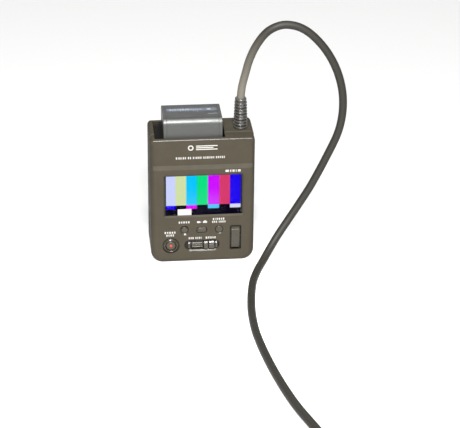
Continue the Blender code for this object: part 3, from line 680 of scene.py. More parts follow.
def remap(tree, value, source, target):
    made = add_node(tree, "ShaderNodeMapRange")
    for name, number in zip(("From Min", "From Max", "To Min", "To Max"), (*source, *target)):
        made.inputs[name].default_value = number
    tree.links.new(value, made.inputs["Value"])
    return made.outputs["Result"]


def mix_colours(tree, share, first, second):
    """Mixes two colours, each a value or another node's output."""
    made = add_node(tree, "ShaderNodeMix", data_type="RGBA")
    tree.links.new(share, made.inputs["Factor"])
    for socket, colour in ((made.inputs[6], first), (made.inputs[7], second)):
        if isinstance(colour, tuple):
            socket.default_value = colour
        else:
            tree.links.new(colour, socket)
    return made.outputs[2]


def surface(name, colour, roughness, metallic=0.0, specular=0.5, grain=0.012, grain_size=0.35,
            mottle=0.07, edge_wear_and_highlight=0.5, stretch=(1.0, 1.0, 1.0)):
    """A worked surface: fine grain, uneven colour and gloss, and softened edges painted paler, partly as
    rubbed wear and partly as a painted highlight.
    """
    made, tree, shader = new_material(name)
    set_inputs(shader, {"Metallic": metallic, "Specular IOR Level": specular})
    place = place_on_object(tree)
    broad = noise(tree, place, BLOTCH_SIZE, detail=4.0, stretch=stretch)
    fine = noise(tree, place, grain_size, stretch=stretch)
    patchy = mix_colours(tree, broad, shades(colour, 1 - 2 * mottle), shades(colour, 1 + 2 * mottle))
    speckled = mix_colours(tree, remap(tree, fine, (0.35, 0.7), (0.0, 0.35)), patchy, shades(colour, 1.25))

    rounded = add_node(tree, "ShaderNodeBevel", samples=4, Radius=EDGE_ROUNDING * MM)
    facing = add_node(tree, "ShaderNodeNewGeometry")
    turn = add_node(tree, "ShaderNodeVectorMath", operation="DOT_PRODUCT")
    tree.links.new(rounded.outputs["Normal"], turn.inputs[0])
    tree.links.new(facing.outputs["Normal"], turn.inputs[1])
    # Edges are painted paler, partly as rubbed wear and partly as a painted highlight where light would catch
    # them.
    rubbed_and_highlit = remap(tree, turn.outputs["Value"], (0.99, 0.86), (0.0, edge_wear_and_highlight))
    tree.links.new(mix_colours(tree, rubbed_and_highlit, speckled, shades(colour, 1.9)), shader.inputs["Base Color"])

    gloss = remap(tree, broad, (0.3, 0.7), (roughness + 0.05, roughness - 0.05))
    tree.links.new(gloss, shader.inputs["Roughness"])
    bump = add_node(tree, "ShaderNodeBump", Strength=1.0, Distance=grain * MM)
    tree.links.new(fine, bump.inputs["Height"])
    tree.links.new(rounded.outputs["Normal"], bump.inputs["Normal"])
    tree.links.new(bump.outputs["Normal"], shader.inputs["Normal"])
    return made


def repainted(made, share, colour):
    """Mixes a colour into a surface's own, by a share."""
    tree = made.node_tree
    base = tree.nodes["Principled BSDF"].inputs["Base Color"]
    tree.links.new(mix_colours(tree, share, base.links[0].from_socket, colour), base)
    return made


SURFACES = {
    "case_plastic": dict(colour=(0.036, 0.0306, 0.0213), roughness=0.62, specular=0.12),
    "dark_plastic": dict(colour=(0.007, 0.0065, 0.006), roughness=0.5, specular=0.25),
    "button_plastic": dict(colour=(0.031, 0.0262, 0.018), roughness=0.3, specular=0.35, grain=0.004),
    "gloss_plastic": dict(colour=(0.031, 0.0262, 0.018), roughness=0.24, specular=0.45, grain=0.003),
    "battery_plastic": dict(
        colour=(0.056, 0.058, 0.0555), roughness=0.42, metallic=0.5, specular=0.8, grain=0.003, edge_wear_and_highlight=0.0,
        mottle=0.03,
    ),
    "white_plastic": dict(colour=(0.72, 0.71, 0.68), roughness=0.5, grain=0.004, mottle=0.02, edge_wear_and_highlight=0.0),
    "steel": dict(
        colour=(0.5, 0.5, 0.49), roughness=0.3, metallic=1.0, grain=0.002, grain_size=0.5, edge_wear_and_highlight=0.3,
        stretch=(0.08, 1.0, 1.0),
    ),
    "brass": dict(colour=(0.6, 0.43, 0.19), roughness=0.28, metallic=1.0, grain=0.002, edge_wear_and_highlight=0.3),
    "cell_wrap": dict(
        colour=(0.05, 0.16, 0.34), roughness=0.35, grain=0.004, mottle=0.04, stretch=(0.2, 1, 1)
    ),
    "rubber": dict(colour=(0.012, 0.0125, 0.0115), roughness=0.42, specular=0.6, grain=0.008, edge_wear_and_highlight=0.35),
}


def circuit_board_look():
    """Solder mask over copper tracks, which show as paler lines in an uneven grid."""
    made = surface("circuit_board_look", (0.012, 0.075, 0.03), 0.4, grain=0.004)
    tree = made.node_tree
    tracks = add_node(
        tree, "ShaderNodeTexVoronoi", feature="DISTANCE_TO_EDGE", distance="CHEBYCHEV", Scale=420.0
    )
    tree.links.new(place_on_object(tree), tracks.inputs["Vector"])
    line = remap(tree, tracks.outputs["Distance"], (0.03, 0.08), (0.8, 0.0))
    return repainted(made, line, (0.03, 0.15, 0.06, 1.0))


def cord_look():
    """The jacket: paler near the relief, darker further along."""
    made = surface(
        "cord_jacket_look", (0.018, 0.0165, 0.013), 0.55, specular=0.25, grain=0.01, grain_size=0.6, edge_wear_and_highlight=0.0
    )
    tree = made.node_tree
    relief = tuple(value * MM for value in ROUTE[0])
    # The colour is paler within about 8 mm of the relief and fades to the jacket's own darker colour by about
    # 58 mm.
    paler_near_relief = remap(tree, distance_from(tree, relief), (0.008, 0.058), (1.0, 0.0))
    return repainted(made, paler_near_relief, (0.105, 0.096, 0.077, 1.0))


def pane_look():
    """The display's clear cover, with a coating that keeps reflections down and a few faint smears."""
    made, tree, shader = new_material("pane_look")
    set_inputs(shader, {"Base Color": WHITE, "Transmission Weight": 1.0, "IOR": 1.1})
    smears = noise(tree, place_on_object(tree), 12.0, detail=3.0, stretch=(1.0, 1.0, 0.4))
    tree.links.new(remap(tree, smears, (0.4, 0.8), (0.0, 0.06)), shader.inputs["Roughness"])
    return made


def glow_look(name, colour, strength=1.0, paler=0.0):
    """A surface that gives light, and can pale towards the picture's bottom."""
    made, tree, shader = new_material(name)
    dark = (0.002, 0.002, 0.003, 1.0)
    unlit = {"Base Color": dark, "Roughness": 0.35, "Specular IOR Level": 0.0, "Emission Strength": strength}
    set_inputs(shader, unlit)
    axes = add_node(tree, "ShaderNodeSeparateXYZ")
    tree.links.new(place_on_object(tree), axes.inputs["Vector"])
    bottom, level = (SCREEN_Z - SCREEN_HEIGHT / 2) * MM, (SCREEN_Z + 4) * MM
    fade = remap(tree, axes.outputs["Z"], (bottom, level), (paler, 0.0))
    lit = mix_colours(tree, fade, (*colour, 1.0), (0.75, 0.75, 0.85, 1.0))
    tree.links.new(lit, shader.inputs["Emission Color"])
    return made


def look(slot):
    """The material of a slot or finish, made once."""
    found = bpy.data.materials.get(slot + "_look")
    if found:
        return found
    if slot == "circuit_board":
        return circuit_board_look()
    if slot == "cord_jacket":
        return cord_look()
    return surface(slot + "_look", **SURFACES[slot])


def dress_frame():
    """Gives every CAD piece the look of its material slot."""
    finishes = {"screen": "dark_plastic", "screen_glass": "white_plastic"}
    for row in frame["record"]["subparts"]:
        finish = finishes.get(row["material_slot"], row["material_slot"])
        if row["node"] == "zoom_rocker_pin":
            finish = "dark_plastic"
        materials = frame["nodes"][row["node"]].data.materials
        materials.clear()
        materials.append(look(finish))


# ---------------------------------------------------------------- case


def bay_mouth(face, deep):
    """A cutter for the opening that the battery stands in."""
    centre = (sum(BAY_X) / 2, sum(BAY_Y) / 2)
    size = (BAY_X[1] - BAY_X[0], BAY_Y[1] - BAY_Y[0])
    return mouth("bay_cut", face, rectangle(centre, size, BAY_CORNER), BAY_LIP, deep)


def front_cover():
    """The front shell, set back above a slope, with its window and its holes for the controls."""
    shell = block(
        "front_cover_shell", on_front, case_outline(FRONT_TOP), 0, FRONT_SEAM, FRONT_EDGE, SEAM_EDGE, 8
    )
    face, outside, panel_back = y_at(-FLUSH), y_at(-1), y_at(PANEL_DEPTH)
    above = FRONT_TOP + 5
    outline = softened(
        (
            (panel_back, SLOPE_TOP, 0.9),
            (face, SLOPE_BOTTOM, 4.0),
            (face, SLOPE_BOTTOM - 3),
            (outside, SLOPE_BOTTOM - 3),
            (outside, above),
            (panel_back, above),
        ),
        steps=8,
    )
    panel = prism("panel_cut", along_x, outline, PANEL_X)
    inner_x = (-HALF_WIDTH + WALL, HALF_WIDTH - WALL)
    inner = rounded_rectangle(inner_x, (WALL, SLOPE_BOTTOM - 1), BOTTOM_CORNER - WALL, 0.8)
    lower = prism("lower_cut", on_front, inner, (WALL, 20))
    upper = box("upper_cut", inner_x, (y_at(PANEL_DEPTH + WALL), y_at(20)), (70.0, FRONT_TOP - WALL))
    cut(shell, panel, top_edge_cut(), lower, upper, *window_cuts(), *control_cuts())
    cut(shell, bay_mouth(on_front_top, 6.0))
    return piece(shell, "case", "case_plastic", "front_cover")


def top_edge_cut():
    """A cutter that rounds the panel's top edge."""
    front, above = y_at(PANEL_DEPTH), FRONT_TOP + 1
    outline = [(front - 1, above), (front - 1, FRONT_TOP - TOP_EDGE)]
    outline += [(front + inset, FRONT_TOP - TOP_EDGE + rise) for inset, rise in top_arc(TOP_EDGE)]
    outline.append((front + TOP_EDGE, above))
    return prism("top_edge_cut", along_x, outline, PANEL_X)


def top_arc(reach, steps=8):
    """The panel's top edge as (distance behind the panel, rise), on an arc of this radius."""
    return [(TOP_EDGE - reach * math.cos(turn), reach * math.sin(turn)) for turn in turns(0, 90, steps)]


def window_cuts():
    """Cutters for the display's opening with its sloping sill, and the pocket for its pane."""
    centre = (SCREEN_X, SCREEN_Z)
    opening = rectangle(centre, (SCREEN_WIDTH, SCREEN_HEIGHT), 0.05, steps=1)
    pocket = rectangle(centre, (SCREEN_WIDTH + 2.8, SCREEN_HEIGHT + 2.8), 0.2, steps=2)
    return [
        dish("sill_cut", on_front, opening, SCREEN_LIP, SCREEN_LIP_DEPTH, 3.0),
        prism("pocket_cut", on_front, pocket(0), (SCREEN_LIP_DEPTH, 5.0)),
    ]


def seen(node):
    """A node's centre on the front face."""
    centre = middle(node)
    return (centre.x, centre.z)


START_HOLE, START_RADIUS = 6.7, 6.0
PHOTO_HOLE, PHOTO_DISH, PHOTO_DISH_DEPTH = 3.05, 1.3, 0.95
DISPLAY_HOLE, DISPLAY_DISH, DISPLAY_DISH_DEPTH = 3.2, 0.6, 0.45
MODE_SIZE, MODE_CORNER, MODE_GAP = (7.2, 3.9), 1.2, 0.55
STRIP_SIZE = (26.6, 7.8)
STRIP_LIP = 1.1
ZOOM_HOLE = (8.8, 21.4)
ZOOM_WIDTH = 6.4
BUTTON_FOOT = 0.9  # how much wider a button's foot is than its cap

# The recesses with a polished slope: their outlines, and the slope's width and depth.
STRIP = rectangle(seen("control_bezel"), STRIP_SIZE, STRIP_SIZE[1] / 2 - 0.02, steps=16)
RECESSES = {
    "strip": (STRIP, STRIP_LIP, STRIP_LIP),
    "photo": (circle(seen("photo_button"), PHOTO_HOLE), PHOTO_DISH, PHOTO_DISH_DEPTH),
    "display": (circle(seen("display_button"), DISPLAY_HOLE), DISPLAY_DISH, DISPLAY_DISH_DEPTH),
}


def control_cuts():
    """Cutters for the holes and recesses of the controls, and the microphone's slits."""
    deep = 5.0
    mode_size = (MODE_SIZE[0] + 2 * MODE_GAP, MODE_SIZE[1] + 2 * MODE_GAP)
    mode_hole = rectangle(seen("mode_button"), mode_size, MODE_CORNER + MODE_GAP)
    start_x, start_z = seen("start_stop_ring")
    cuts = [
        mouth("start_cut", on_front, circle((start_x, start_z), START_HOLE), 0.15, deep),
        dish("photo_cut", on_front, *RECESSES["photo"], deep),
        dish("display_cut", on_front, *RECESSES["display"], deep),
        mouth("mode_cut", on_front, mode_hole, 0.3, deep),
        dish("strip_cut", on_front, *RECESSES["strip"], deep),
        mouth("zoom_cut", on_front, rectangle(seen("zoom_rocker"), ZOOM_HOLE, 1.2), 0.4, deep),
    ]
    for i in range(3):
        slit = rectangle((start_x - 1.2 + 1.6 * i, start_z + 15.0), (0.4, 1.7), 0.19, steps=3)
        cuts.append(mouth(f"slit_cut_{i}", on_front, slit, 0.05, 0.6))
    return cuts


def chamfer_trim(name, outline_at, lip, lip_depth):
    """The polished slope round a recess: a thin sheet that lies on the cut's sloping edge."""
    rings = [
        layer(on_front, outline_at(-lip), -TRIM_PROUD),
        layer(on_front, outline_at(0), lip_depth - TRIM_PROUD),
        layer(on_front, outline_at(0), lip_depth + TRIM_UNDER),
        layer(on_front, outline_at(-lip), TRIM_UNDER),
    ]
    return piece(skin(name, rings, closed=True), "case", "case_plastic", material=look("button_plastic"))


def top_edge_trim():
    """The polished round along the panel's top edge."""
    arcs = [
        [(y_at(PANEL_DEPTH) + inset, FRONT_TOP - TOP_EDGE + rise) for inset, rise in top_arc(reach)]
        for reach in (TOP_EDGE + TRIM_PROUD, TOP_EDGE - TRIM_UNDER)
    ]
    edge = prism("top_edge_trim", along_x, arcs[0] + arcs[1][::-1], (PANEL_X[0] + 0.5, PANEL_X[1] - 0.5))
    return piece(edge, "case", "case_plastic", material=look("button_plastic"))


def trims():
    """The polished edges that catch the light."""
    top_edge_trim()
    for name, recess in RECESSES.items():
        chamfer_trim(name + "_trim", *recess)


def rear_cover():
    """The rear shell, with its cavity, screw bosses and wells, and its openings."""
    outline = case_outline(REAR_TOP)
    shell = block("rear_cover_shell", on_front, outline, REAR_SEAM, CASE_DEPTH, SEAM_EDGE + 0.3, REAR_EDGE, 8)
    cavity = prism("cavity_cut", on_front, outline(WALL), (10, CASE_DEPTH - WALL))
    tray_low, tray_high = low("battery_bay"), high("battery_bay")
    tray = box(
        "tray_cut",
        (tray_low.x - GAP, tray_high.x + GAP),
        (0, tray_high.y + GAP),
        (tray_low.z - GAP, REAR_TOP - WALL),
    )
    relief = middle("strain_relief")
    relief_hole = mouth("relief_cut", on_rear_top, circle((relief.x, relief.y), 5.0), 0.5, 8.0)
    cut(shell, cavity, tray, bay_mouth(on_rear_top, 10.0), relief_hole)
    bosses, wells = [], []
    well = ((0, 3.4), (1.0, 3.4), (1.4, 3.0), (2.2, 3.0), (2.2, 1.5), (13.5, 1.5))
    for node in REAR_SCREWS:
        x, z = seen(node)
        bosses.append(rod(node + "_boss", (x, y_at(CASE_DEPTH - 1), z), FROM_BACK, 11, 3.4))
        wells.append(turned(node + "_well", (x, BACK_Y + 1, z), FROM_BACK, well))
    join(shell, *bosses)
    cut(shell, *wells)
    cut(shell, *back_cuts(), power_slot(), door_opening("jack_cover"), door_opening("card_door"))
    return piece(shell, "case", "case_plastic", "rear_cover")


def back_cuts():
    """Cutters for the speaker's slots, the tripod socket and the battery release."""
    x, z = seen("speaker")
    cuts = []
    for i in range(5):
        slot = rectangle((x, z + 2.6 * (i - 2)), (12, 1.3), 0.6)
        cuts.append(mouth(f"slot_{i}", on_back, slot, 0.2, 4))
    cuts.append(mouth("tripod_cut", on_back, circle(seen("tripod_socket"), 5.3), 0.4, 4))
    x, z = seen("battery_release")
    size = (RELEASE_SIZE[0] + RELEASE_TRAVEL + 2 * GAP, RELEASE_SIZE[1] + 2 * GAP)
    hole = rectangle((x - RELEASE_TRAVEL / 2, z), size, 1.0)
    cuts.append(mouth("release_cut", on_back, hole, 0.3, 5))
    return cuts


def power_slot():
    """A cutter for the slot that the power switch slides in."""
    knob = middle("power_switch")
    slot = rectangle((knob.y, knob.z + POWER_TRAVEL / 2), POWER_SLOT, 1.0)
    return mouth("power_cut", on_right, slot, 0.3, 6.0)


def door_opening(node):
    """A cutter for the opening that a door closes."""
    centre, size = middle(node), extent(node)
    hole = rectangle((centre.y, centre.z), (size.y + 2 * GAP, size.z + 2 * GAP), 0.4, steps=4)
    return mouth(node + "_cut", on_left, hole, 0.15, 3.0)


# ---------------------------------------------------------------- display


# Each bar: where it starts across the picture, its colour, the patch below it, and how much it pales.
BARS = (
    (0.0, linear(200, 210, 255), linear(30, 0, 240), 0.0),
    (0.125, linear(207, 222, 165), None, 0.0),
    (0.27, linear(0, 195, 255), linear(225, 20, 250), 0.06),
    (0.413, linear(0, 222, 130), None, 0.02),
    (0.56, linear(205, 0, 255), linear(80, 200, 245), 0.1),
    (0.712, linear(212, 62, 108), None, 0.0),
    (0.857, linear(28, 0, 238), linear(215, 215, 245), 0.0),
)
BAR_SHARE, PATCH_SHARE = 0.75, 0.095  # of the picture's height
WHITE_PATCH = (0.155, 0.34)  # where it starts and ends across the picture


def display():
    """The lit panel with its picture, and the clear pane in front of it."""
    size = extent("lcd_panel")
    outline = rectangle(seen("lcd_panel"), (size.x, size.z), 0.4, steps=3)
    front, back = depths("lcd_panel")
    panel = block("lcd_glass", on_front, outline, front, back, 0.1, 0.1, 2)
    piece(panel, "case", "screen", "lcd_panel", material=look("dark_plastic"))
    picture(y_at(front) - 0.02)
    pane = block("lcd_pane", on_front, outline, *depths("lcd_window"), 0.15, 0.15, 3)
    piece(pane, "case", "screen_glass", "lcd_window", material=pane_look())


def picture(y):
    """Colour bars over a row of patches, and a white patch on black along the bottom."""
    width = SCREEN_WIDTH - 2.0
    left = SCREEN_X - width / 2
    bottom, top = SCREEN_Z - SCREEN_HEIGHT / 2 - 0.7, SCREEN_Z + SCREEN_HEIGHT / 2 - 0.2
    bar_bottom = top - BAR_SHARE * (top - bottom)
    patch_bottom = bar_bottom - PATCH_SHARE * (top - bottom)
    shape = bmesh.new()
    materials = [glow_look("picture_black", (0.002, 0.001, 0.008))]
    black = 0

    def patch(shares, z, material):
        x = [left + share * width for share in shares]
        corners = ((x[0], z[0]), (x[1], z[0]), (x[1], z[1]), (x[0], z[1]))
        face = shape.faces.new([shape.verts.new((a, y, b)) for a, b in corners])
        face.material_index = material

    ends = [bar[0] for bar in BARS[1:]] + [1.0]
    for i, (share, bar, below, paler) in enumerate(BARS):
        materials.append(glow_look(f"picture_bar_{i + 1}", bar, paler=paler))
        patch((share, ends[i]), (bar_bottom, top), len(materials) - 1)
        if below:
            materials.append(glow_look(f"picture_patch_{i + 1}", below))
        patch((share, ends[i]), (patch_bottom, bar_bottom), len(materials) - 1 if below else black)
    materials.append(glow_look("picture_white", WHITE[:3]))
    start, end = WHITE_PATCH
    lowest = (bottom, patch_bottom)
    patch((0.0, start), lowest, black)
    patch((start, end), lowest, len(materials) - 1)
    patch((end, 1.0), lowest, black)
    bmesh.ops.solidify(shape, geom=shape.faces[:], thickness=0.01)
    made = from_shape("lcd_picture", shape)
    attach(made, "case")
    for material in materials:
        made.data.materials.append(material)


# ---------------------------------------------------------------- controls


def start_stop():
    """The raised ring, which slopes up to a crest round the cap, and the cap with its lamp."""
    x, z = seen("start_stop_ring")
    centre = (x, FRONT_Y, z)
    outer = [(0.75, START_RADIUS), (0.5, START_RADIUS - 0.08), (-0.45, 5.0)]
    crest = [(-0.56, 4.85), (-0.5, 4.7), (0.0, 4.28), (0.6, 4.25)]
    flange = [(3.2, 4.25), (3.2, 7.3), (2.3, 7.3), (2.3, START_RADIUS)]
    ring = turned("start_stop_collar", centre, FROM_FRONT, outer + crest + flange, closed=True, steps=96)
    piece(ring, "case", "case_plastic", "start_stop_ring", material=look("gloss_plastic"), angle=50)

    rim = [(0.75 - 0.6 * math.sin(turn), 3.15 + 0.6 * math.cos(turn)) for turn in turns(0, 90, 6)]
    face = [(0.12, 2.8), (0.22, 2.0), (0.25, 1.15), (0.25, 0)]
    cap = turned("start_stop_cap", centre, FROM_FRONT, [(3.5, 0), (3.5, 3.75)] + rim + face, steps=96)
    piece(cap, "start_stop_button", "button_plastic", "start_stop_button")
    lens = [(0.5, 0), (0.5, 1.0), (0.2, 1.0)]
    dome = [(0.2 - 0.3 * math.sin(turn), math.cos(turn)) for turn in turns(20, 70, 2)]
    lamp = turned("record_lamp", centre, FROM_FRONT, lens + dome + [(-0.1, 0)], steps=32)
    glow = glow_look("record_lamp_look", linear(255, 96, 66), strength=1.3)
    piece(lamp, "start_stop_button", "button_plastic", material=glow)


def round_cap(node, hollow):
    """A round button with a rounded rim, a slightly hollow face and a foot inside the wall."""
    x, z = seen(node)
    front, back = depths(node)
    foot = extent(node).x / 2
    radius = foot - BUTTON_FOOT
    profile = [(front + hollow, 0), (front + hollow * 0.8, radius * 0.4)]
    profile.append((front + hollow * 0.2, radius - 0.75))
    profile += [(front + depth, radius - inset) for inset, depth in quarter(0.55, 6)]
    profile += [(back - 1.0, radius), (back - 1.0, foot), (back, foot), (back, 0)]
    piece(turned(node + "_cap", (x, FRONT_Y, z), FROM_FRONT, profile), node, "button_plastic", node)


def mode_cap():
    """The oblong button, with a hollow in its face."""
    node = "mode_button"
    at = seen(node)
    front, back = depths(node)
    cap = block("mode_cap", on_front, rectangle(at, MODE_SIZE, MODE_CORNER), front, back - 0.5, 0.5, 0, 5)
    join(cap, block("mode_foot", on_front, rectangle(at, (9.0, 5.6), 1.0), back - 1.0, back, 0.1, 0.1, 2))
    hollow = rectangle(at, (MODE_SIZE[0] - 2.2, MODE_SIZE[1] - 2.2), 0.5)
    cut(cap, dish("mode_hollow", on_front, hollow, 0.5, front + 0.18, front + 0.18))
    piece(cap, node, "button_plastic", node)


def strip():
    """The long recess: its dark floor, the blocks on it, the dial and the manual button."""
    x, z = seen("control_bezel")
    size = (STRIP_SIZE[0] - 2 * GAP, STRIP_SIZE[1] - 2 * GAP)
    inside = rectangle((x, z), size, STRIP_SIZE[1] / 2 - GAP - 0.02, 16)
    floor = block("strip_floor", on_front, inside, 1.4, 3.1, 0.2, 0, 3)
    flange = rectangle((x, z), (STRIP_SIZE[0] + 3.0, STRIP_SIZE[1] + 3.0), 4.0)
    join(floor, block("strip_flange", on_front, flange, 2.3, 3.1, 0, 0))
    blocks = (
        sloped_block("strip_block", around(2.5, 3.0), around(z, 6.2), -0.2, 1.6),
        sloped_block("strip_post_0", around(-10.6, 1.5), around(z + 0.2, 5.2), 0.1, 1.6),
        sloped_block("strip_post_1", around(10.7, 1.5), around(z + 0.2, 5.2), 0.1, 1.6),
    )
    for standing in blocks:
        piece(standing, "case", "button_plastic", material=look("gloss_plastic"))
    through = (y_at(-1), y_at(5))
    dial_x = (DIAL_LEFT - GAP, DIAL_LEFT + DIAL_LENGTH + GAP)
    button_x = around(middle("manual_button").x, MANUAL_SIZE[0] + 2 * GAP)
    cuts = [
        box("dial_window", dial_x, through, around(z, 6.4)),
        box("manual_window", button_x, through, around(z, MANUAL_SIZE[1] + 2 * GAP)),
        box("axle_channel", (-11.4, 2.5), (y_at(1.8), y_at(5)), around(z, 2.4)),
    ]
    cut(floor, *cuts)
    piece(floor, "case", "dark_plastic", "control_bezel")
    manual_cap()
    ridged_dial()


def manual_cap():
    """The manual button, with a line across it and a foot inside the recess."""
    node = "manual_button"
    x, z = middle(node).x, middle("control_bezel").z
    front, back = depths(node)
    cap = sloped_block("manual_cap", around(x, MANUAL_SIZE[0]), around(z, MANUAL_SIZE[1]), front, back - 0.3)
    foot = rectangle((x, z), (6.0, 7.6), 0.5)
    join(cap, block("manual_foot", on_front, foot, back - 0.7, back, 0.1, 0.1, 2))
    cut(cap, box("manual_line", around(x, 5.0), (y_at(-1), y_at(front + 0.6)), around(z + 0.6, 0.6)))
    piece(cap, node, "button_plastic", node, material=look("gloss_plastic"))


def sloped_block(name, x, z, front, back):
    """A block on the front whose top edge is a broad slope."""
    slope, edge = 1.15, 0.3
    outline = softened(
        (
            (y_at(front), z[0], edge),
            (y_at(front), z[1] - slope, edge),
            (y_at(front + slope), z[1], edge),
            (y_at(back), z[1]),
            (y_at(back), z[0]),
        ),
        steps=4,
    )
    return soft_edges(prism(name, along_x, outline, x), 0.15, angle=60)


def ridged_dial():
    """A roller with ridges along it, chamfered ends and an axle."""
    node = "control_dial"
    radius, groove, axle, reach = 2.9, 0.75, 0.8, 1.9
    end, far_reach = DIAL_LENGTH, DIAL_LENGTH + 1.6
    profile = [(-reach, 0, 0), (-reach, axle, 0), (0, axle, 0), (0, radius - 0.8, 0)]
    profile += [(0.35, radius - 0.25, groove * 0.5), (0.7, radius, groove)]
    profile += [(end - 0.7, radius, groove), (end - 0.35, radius - 0.25, groove * 0.5)]
    profile += [(end, radius - 0.8, 0), (end, axle, 0), (far_reach, axle, 0), (far_reach, 0, 0)]
    start = (DIAL_LEFT, middle(node).y, middle(node).z)
    dial = fluted("ridged_dial", start, (1, 0, 0), profile, 9, steps_each=14, width=0.4)
    piece(dial, node, "button_plastic", node, material=look("gloss_plastic"))


def zoom_paddle():
    """The rocker: a face that swells between a raised lip at the top and a lower one at the bottom."""
    node = "zoom_rocker"
    x, z = seen(node)
    half = extent(node).z / 2
    section = (
        (2.3, half, 0.3),
        (-0.7, half - 2.0, 0.45),
        (-0.1, half - 3.1, 0.5),
        (-0.55, 1.5, 12.0),
        (1.4, 2.0 - half, 0.6),
        (1.1, 1.0 - half, 0.3),
        (1.9, -half, 0.4),
        (2.6, -half, 0),
        (4.2, -4.0, 0),
        (4.8, -1.5, 0),
        (4.8, 1.5, 0),
        (4.2, 4.0, 0),
        (2.6, half, 0),
    )
    outline = softened([(y_at(depth), z + rise, rounding) for depth, rise, rounding in section])
    paddle = prism("zoom_paddle", along_x, outline, around(x, ZOOM_WIDTH))
    soft_edges(paddle, 0.35, angle=60)
    pin = middle("zoom_rocker_pin")
    cut(paddle, rod("paddle_cut", (x - 6, pin.y, pin.z), (1, 0, 0), 12, 1.0, steps=32))
    piece(paddle, node, "button_plastic", node)
    behind = rectangle((x, z - 1.0), (ZOOM_HOLE[0] + 1.6, ZOOM_HOLE[1] + 4.0), 1.0)
    piece(block("zoom_gasket", on_front, behind, 5.02, 5.25, 0, 0), "case", "rubber")


# ---------------------------------------------------------------- printed marks


LETTER_GAP, WORD_GAP = 0.7, 0.8  # beside blocks that are about 1 wide
LABEL_HEIGHT = 1.8
MAKER_Z = 98.0
TYPE_WORDS = (
    (1, 0.6, 1, 0.6, 1, 0.8),
    (1, 1),
    (0.9, 0.5, 1, 1, 1),
    (1, 0.8, 1.2, 0.8, 1, 0.8),
    (1, 1, 0.8, 1, 0.8),
)

# Each label: its node, how far it lies beside and above that, its width and its words' blocks.
LABELS = (
    ("photo_label", "photo_button", 0.0, 7.0, 9.2, ((1, 0.8, 1, 0.9, 1),)),
    ("display_label_1", "display_button", -0.2, 9.2, 9.6, ((1, 0.4, 0.9, 1, 0.7, 1),)),
    ("display_label_2", "display_button", 0.0, 6.7, 11.0, ((1, 0.9, 0.8), (0.6, 1, 1, 0.9))),
    ("start_label_1", "start_stop_ring", -0.3, 11.6, 9.2, ((1, 0.8, 1, 1, 0.8),)),
    ("start_label_2", "start_stop_ring", -0.3, 9.2, 6.6, ((1, 0.8, 1, 0.9),)),
    ("dial_label", "control_bezel", -5.2, 6.6, 10.6, ((1, 1, 1.2), (1, 0.8, 1, 0.7))),
    ("manual_label", "control_bezel", 7.0, 6.6, 8.5, ((1.3, 1, 1, 0.8, 1),)),
)
MODE_ICONS = ((-3.8, -1.4, 7.0, 1.6), (-1.1, -0.5, 7.0, 1.0), (0.9, 4.1, 7.0, 1.6), (1.9, 3.1, 8.1, 0.6))

# The blocks in the battery's pill: each run's height and its blocks' lengths.
PILL_BLOCKS = (
    (2.5, (1.7, 1.2, 1.9, 1.2, 1.5, 1.9, 1.2, 1.7)),
    (1.6, (0.5, 1.0, 0.9, 1.2, 0.9, 0.7, 1.0)),
)

# Each door's icon, as bars: how far along and above the door's centre, and their size.
DOOR_ICONS = {
    "jack_cover": ((0, 8.5, 4.0, 0.4), (0, 8.5, 0.4, 3.4)),
    "card_door": (
        (0, 9.4, 5.2, 0.35),
        (0, 6.4, 5.2, 0.35),
        (-2.6, 7.9, 0.35, 3.3),
        (2.6, 7.9, 0.35, 3.3),
        (0.5, 8.4, 2.6, 0.35),
    ),
}


def dashes(centre, width, height, words):
    """Patches that read as a line of small print: words of short blocks with spaces between."""
    units = sum(LETTER_GAP * len(word) + sum(word) for word in words) + WORD_GAP * (len(words) - 1)
    unit = width / units
    patches, at = [], centre[0] - width / 2
    for word in words:
        for length in word:
            patches.append(((at, at + length * unit), around(centre[1], height)))
            at += length * unit + LETTER_GAP * unit
        at += WORD_GAP * unit
    return patches


def plates(name, face, patches, ends=(-PRINT, PRINT), share=0.2, radius=None):
    """Thin plates on a face, one for each ((a, a), (b, b)) patch, with rounded corners."""
    shape = bmesh.new()
    for a, b in patches:
        corner = radius or share * min(a[1] - a[0], b[1] - b[0])
        outline = rounded_rectangle(a, b, corner, steps=2)
        add_skin(shape, [layer(face, outline, at) for at in ends])
    return from_shape(name, shape)


def printed(obj, body="case"):
    """Gives a mark the print's look and hangs it on its body."""
    return piece(obj, body, "white_plastic", material=print_look())


def print_look():
    found = bpy.data.materials.get("print_look")
    return found or surface("print_look", (0.32, 0.312, 0.29), 0.55, grain=0.003, mottle=0.04, edge_wear_and_highlight=0.0)


def ring_mark(name, face, centre, outer, inner):
    """A printed ring."""
    rims = [circle(centre, radius, 32)(0) for radius in (outer, inner)]
    return printed(tube(name, face, *rims, (PRINT, -PRINT)))


def marks():
    """Generic print: a ring with bars for the maker, and lines of small blocks for the labels."""
    ring_mark("maker_ring", on_panel, (-9.2, MAKER_Z), 2.2, 1.25)
    rows = ((1.45, 11.4), (0.0, 8.2), (-1.45, 11.4))
    bars = [((-5.2, end), around(MAKER_Z + rise, 0.85)) for rise, end in rows]
    printed(plates("maker_bars", on_panel, bars))
    printed(plates("type_line", on_panel, dashes((-1.5, 89.6), 38.2, 1.9, TYPE_WORDS)))
    printed(plates("format_mark", on_front, dashes((23.6, 78.9), 12.6, 1.9, ((2.2, 0.8, 1.4, 0.6, 1.8),))))
    for name, node, beside, rise, width, words in LABELS:
        x, z = seen(node)
        printed(plates(name, on_front, dashes((x + beside, z + rise), width, LABEL_HEIGHT, words)))
    x, z = seen("mode_button")
    icons = [((x + start, x + end), around(z + rise, tall)) for start, end, rise, tall in MODE_ICONS]
    printed(plates("mode_label", on_front, icons))


# ---------------------------------------------------------------- battery


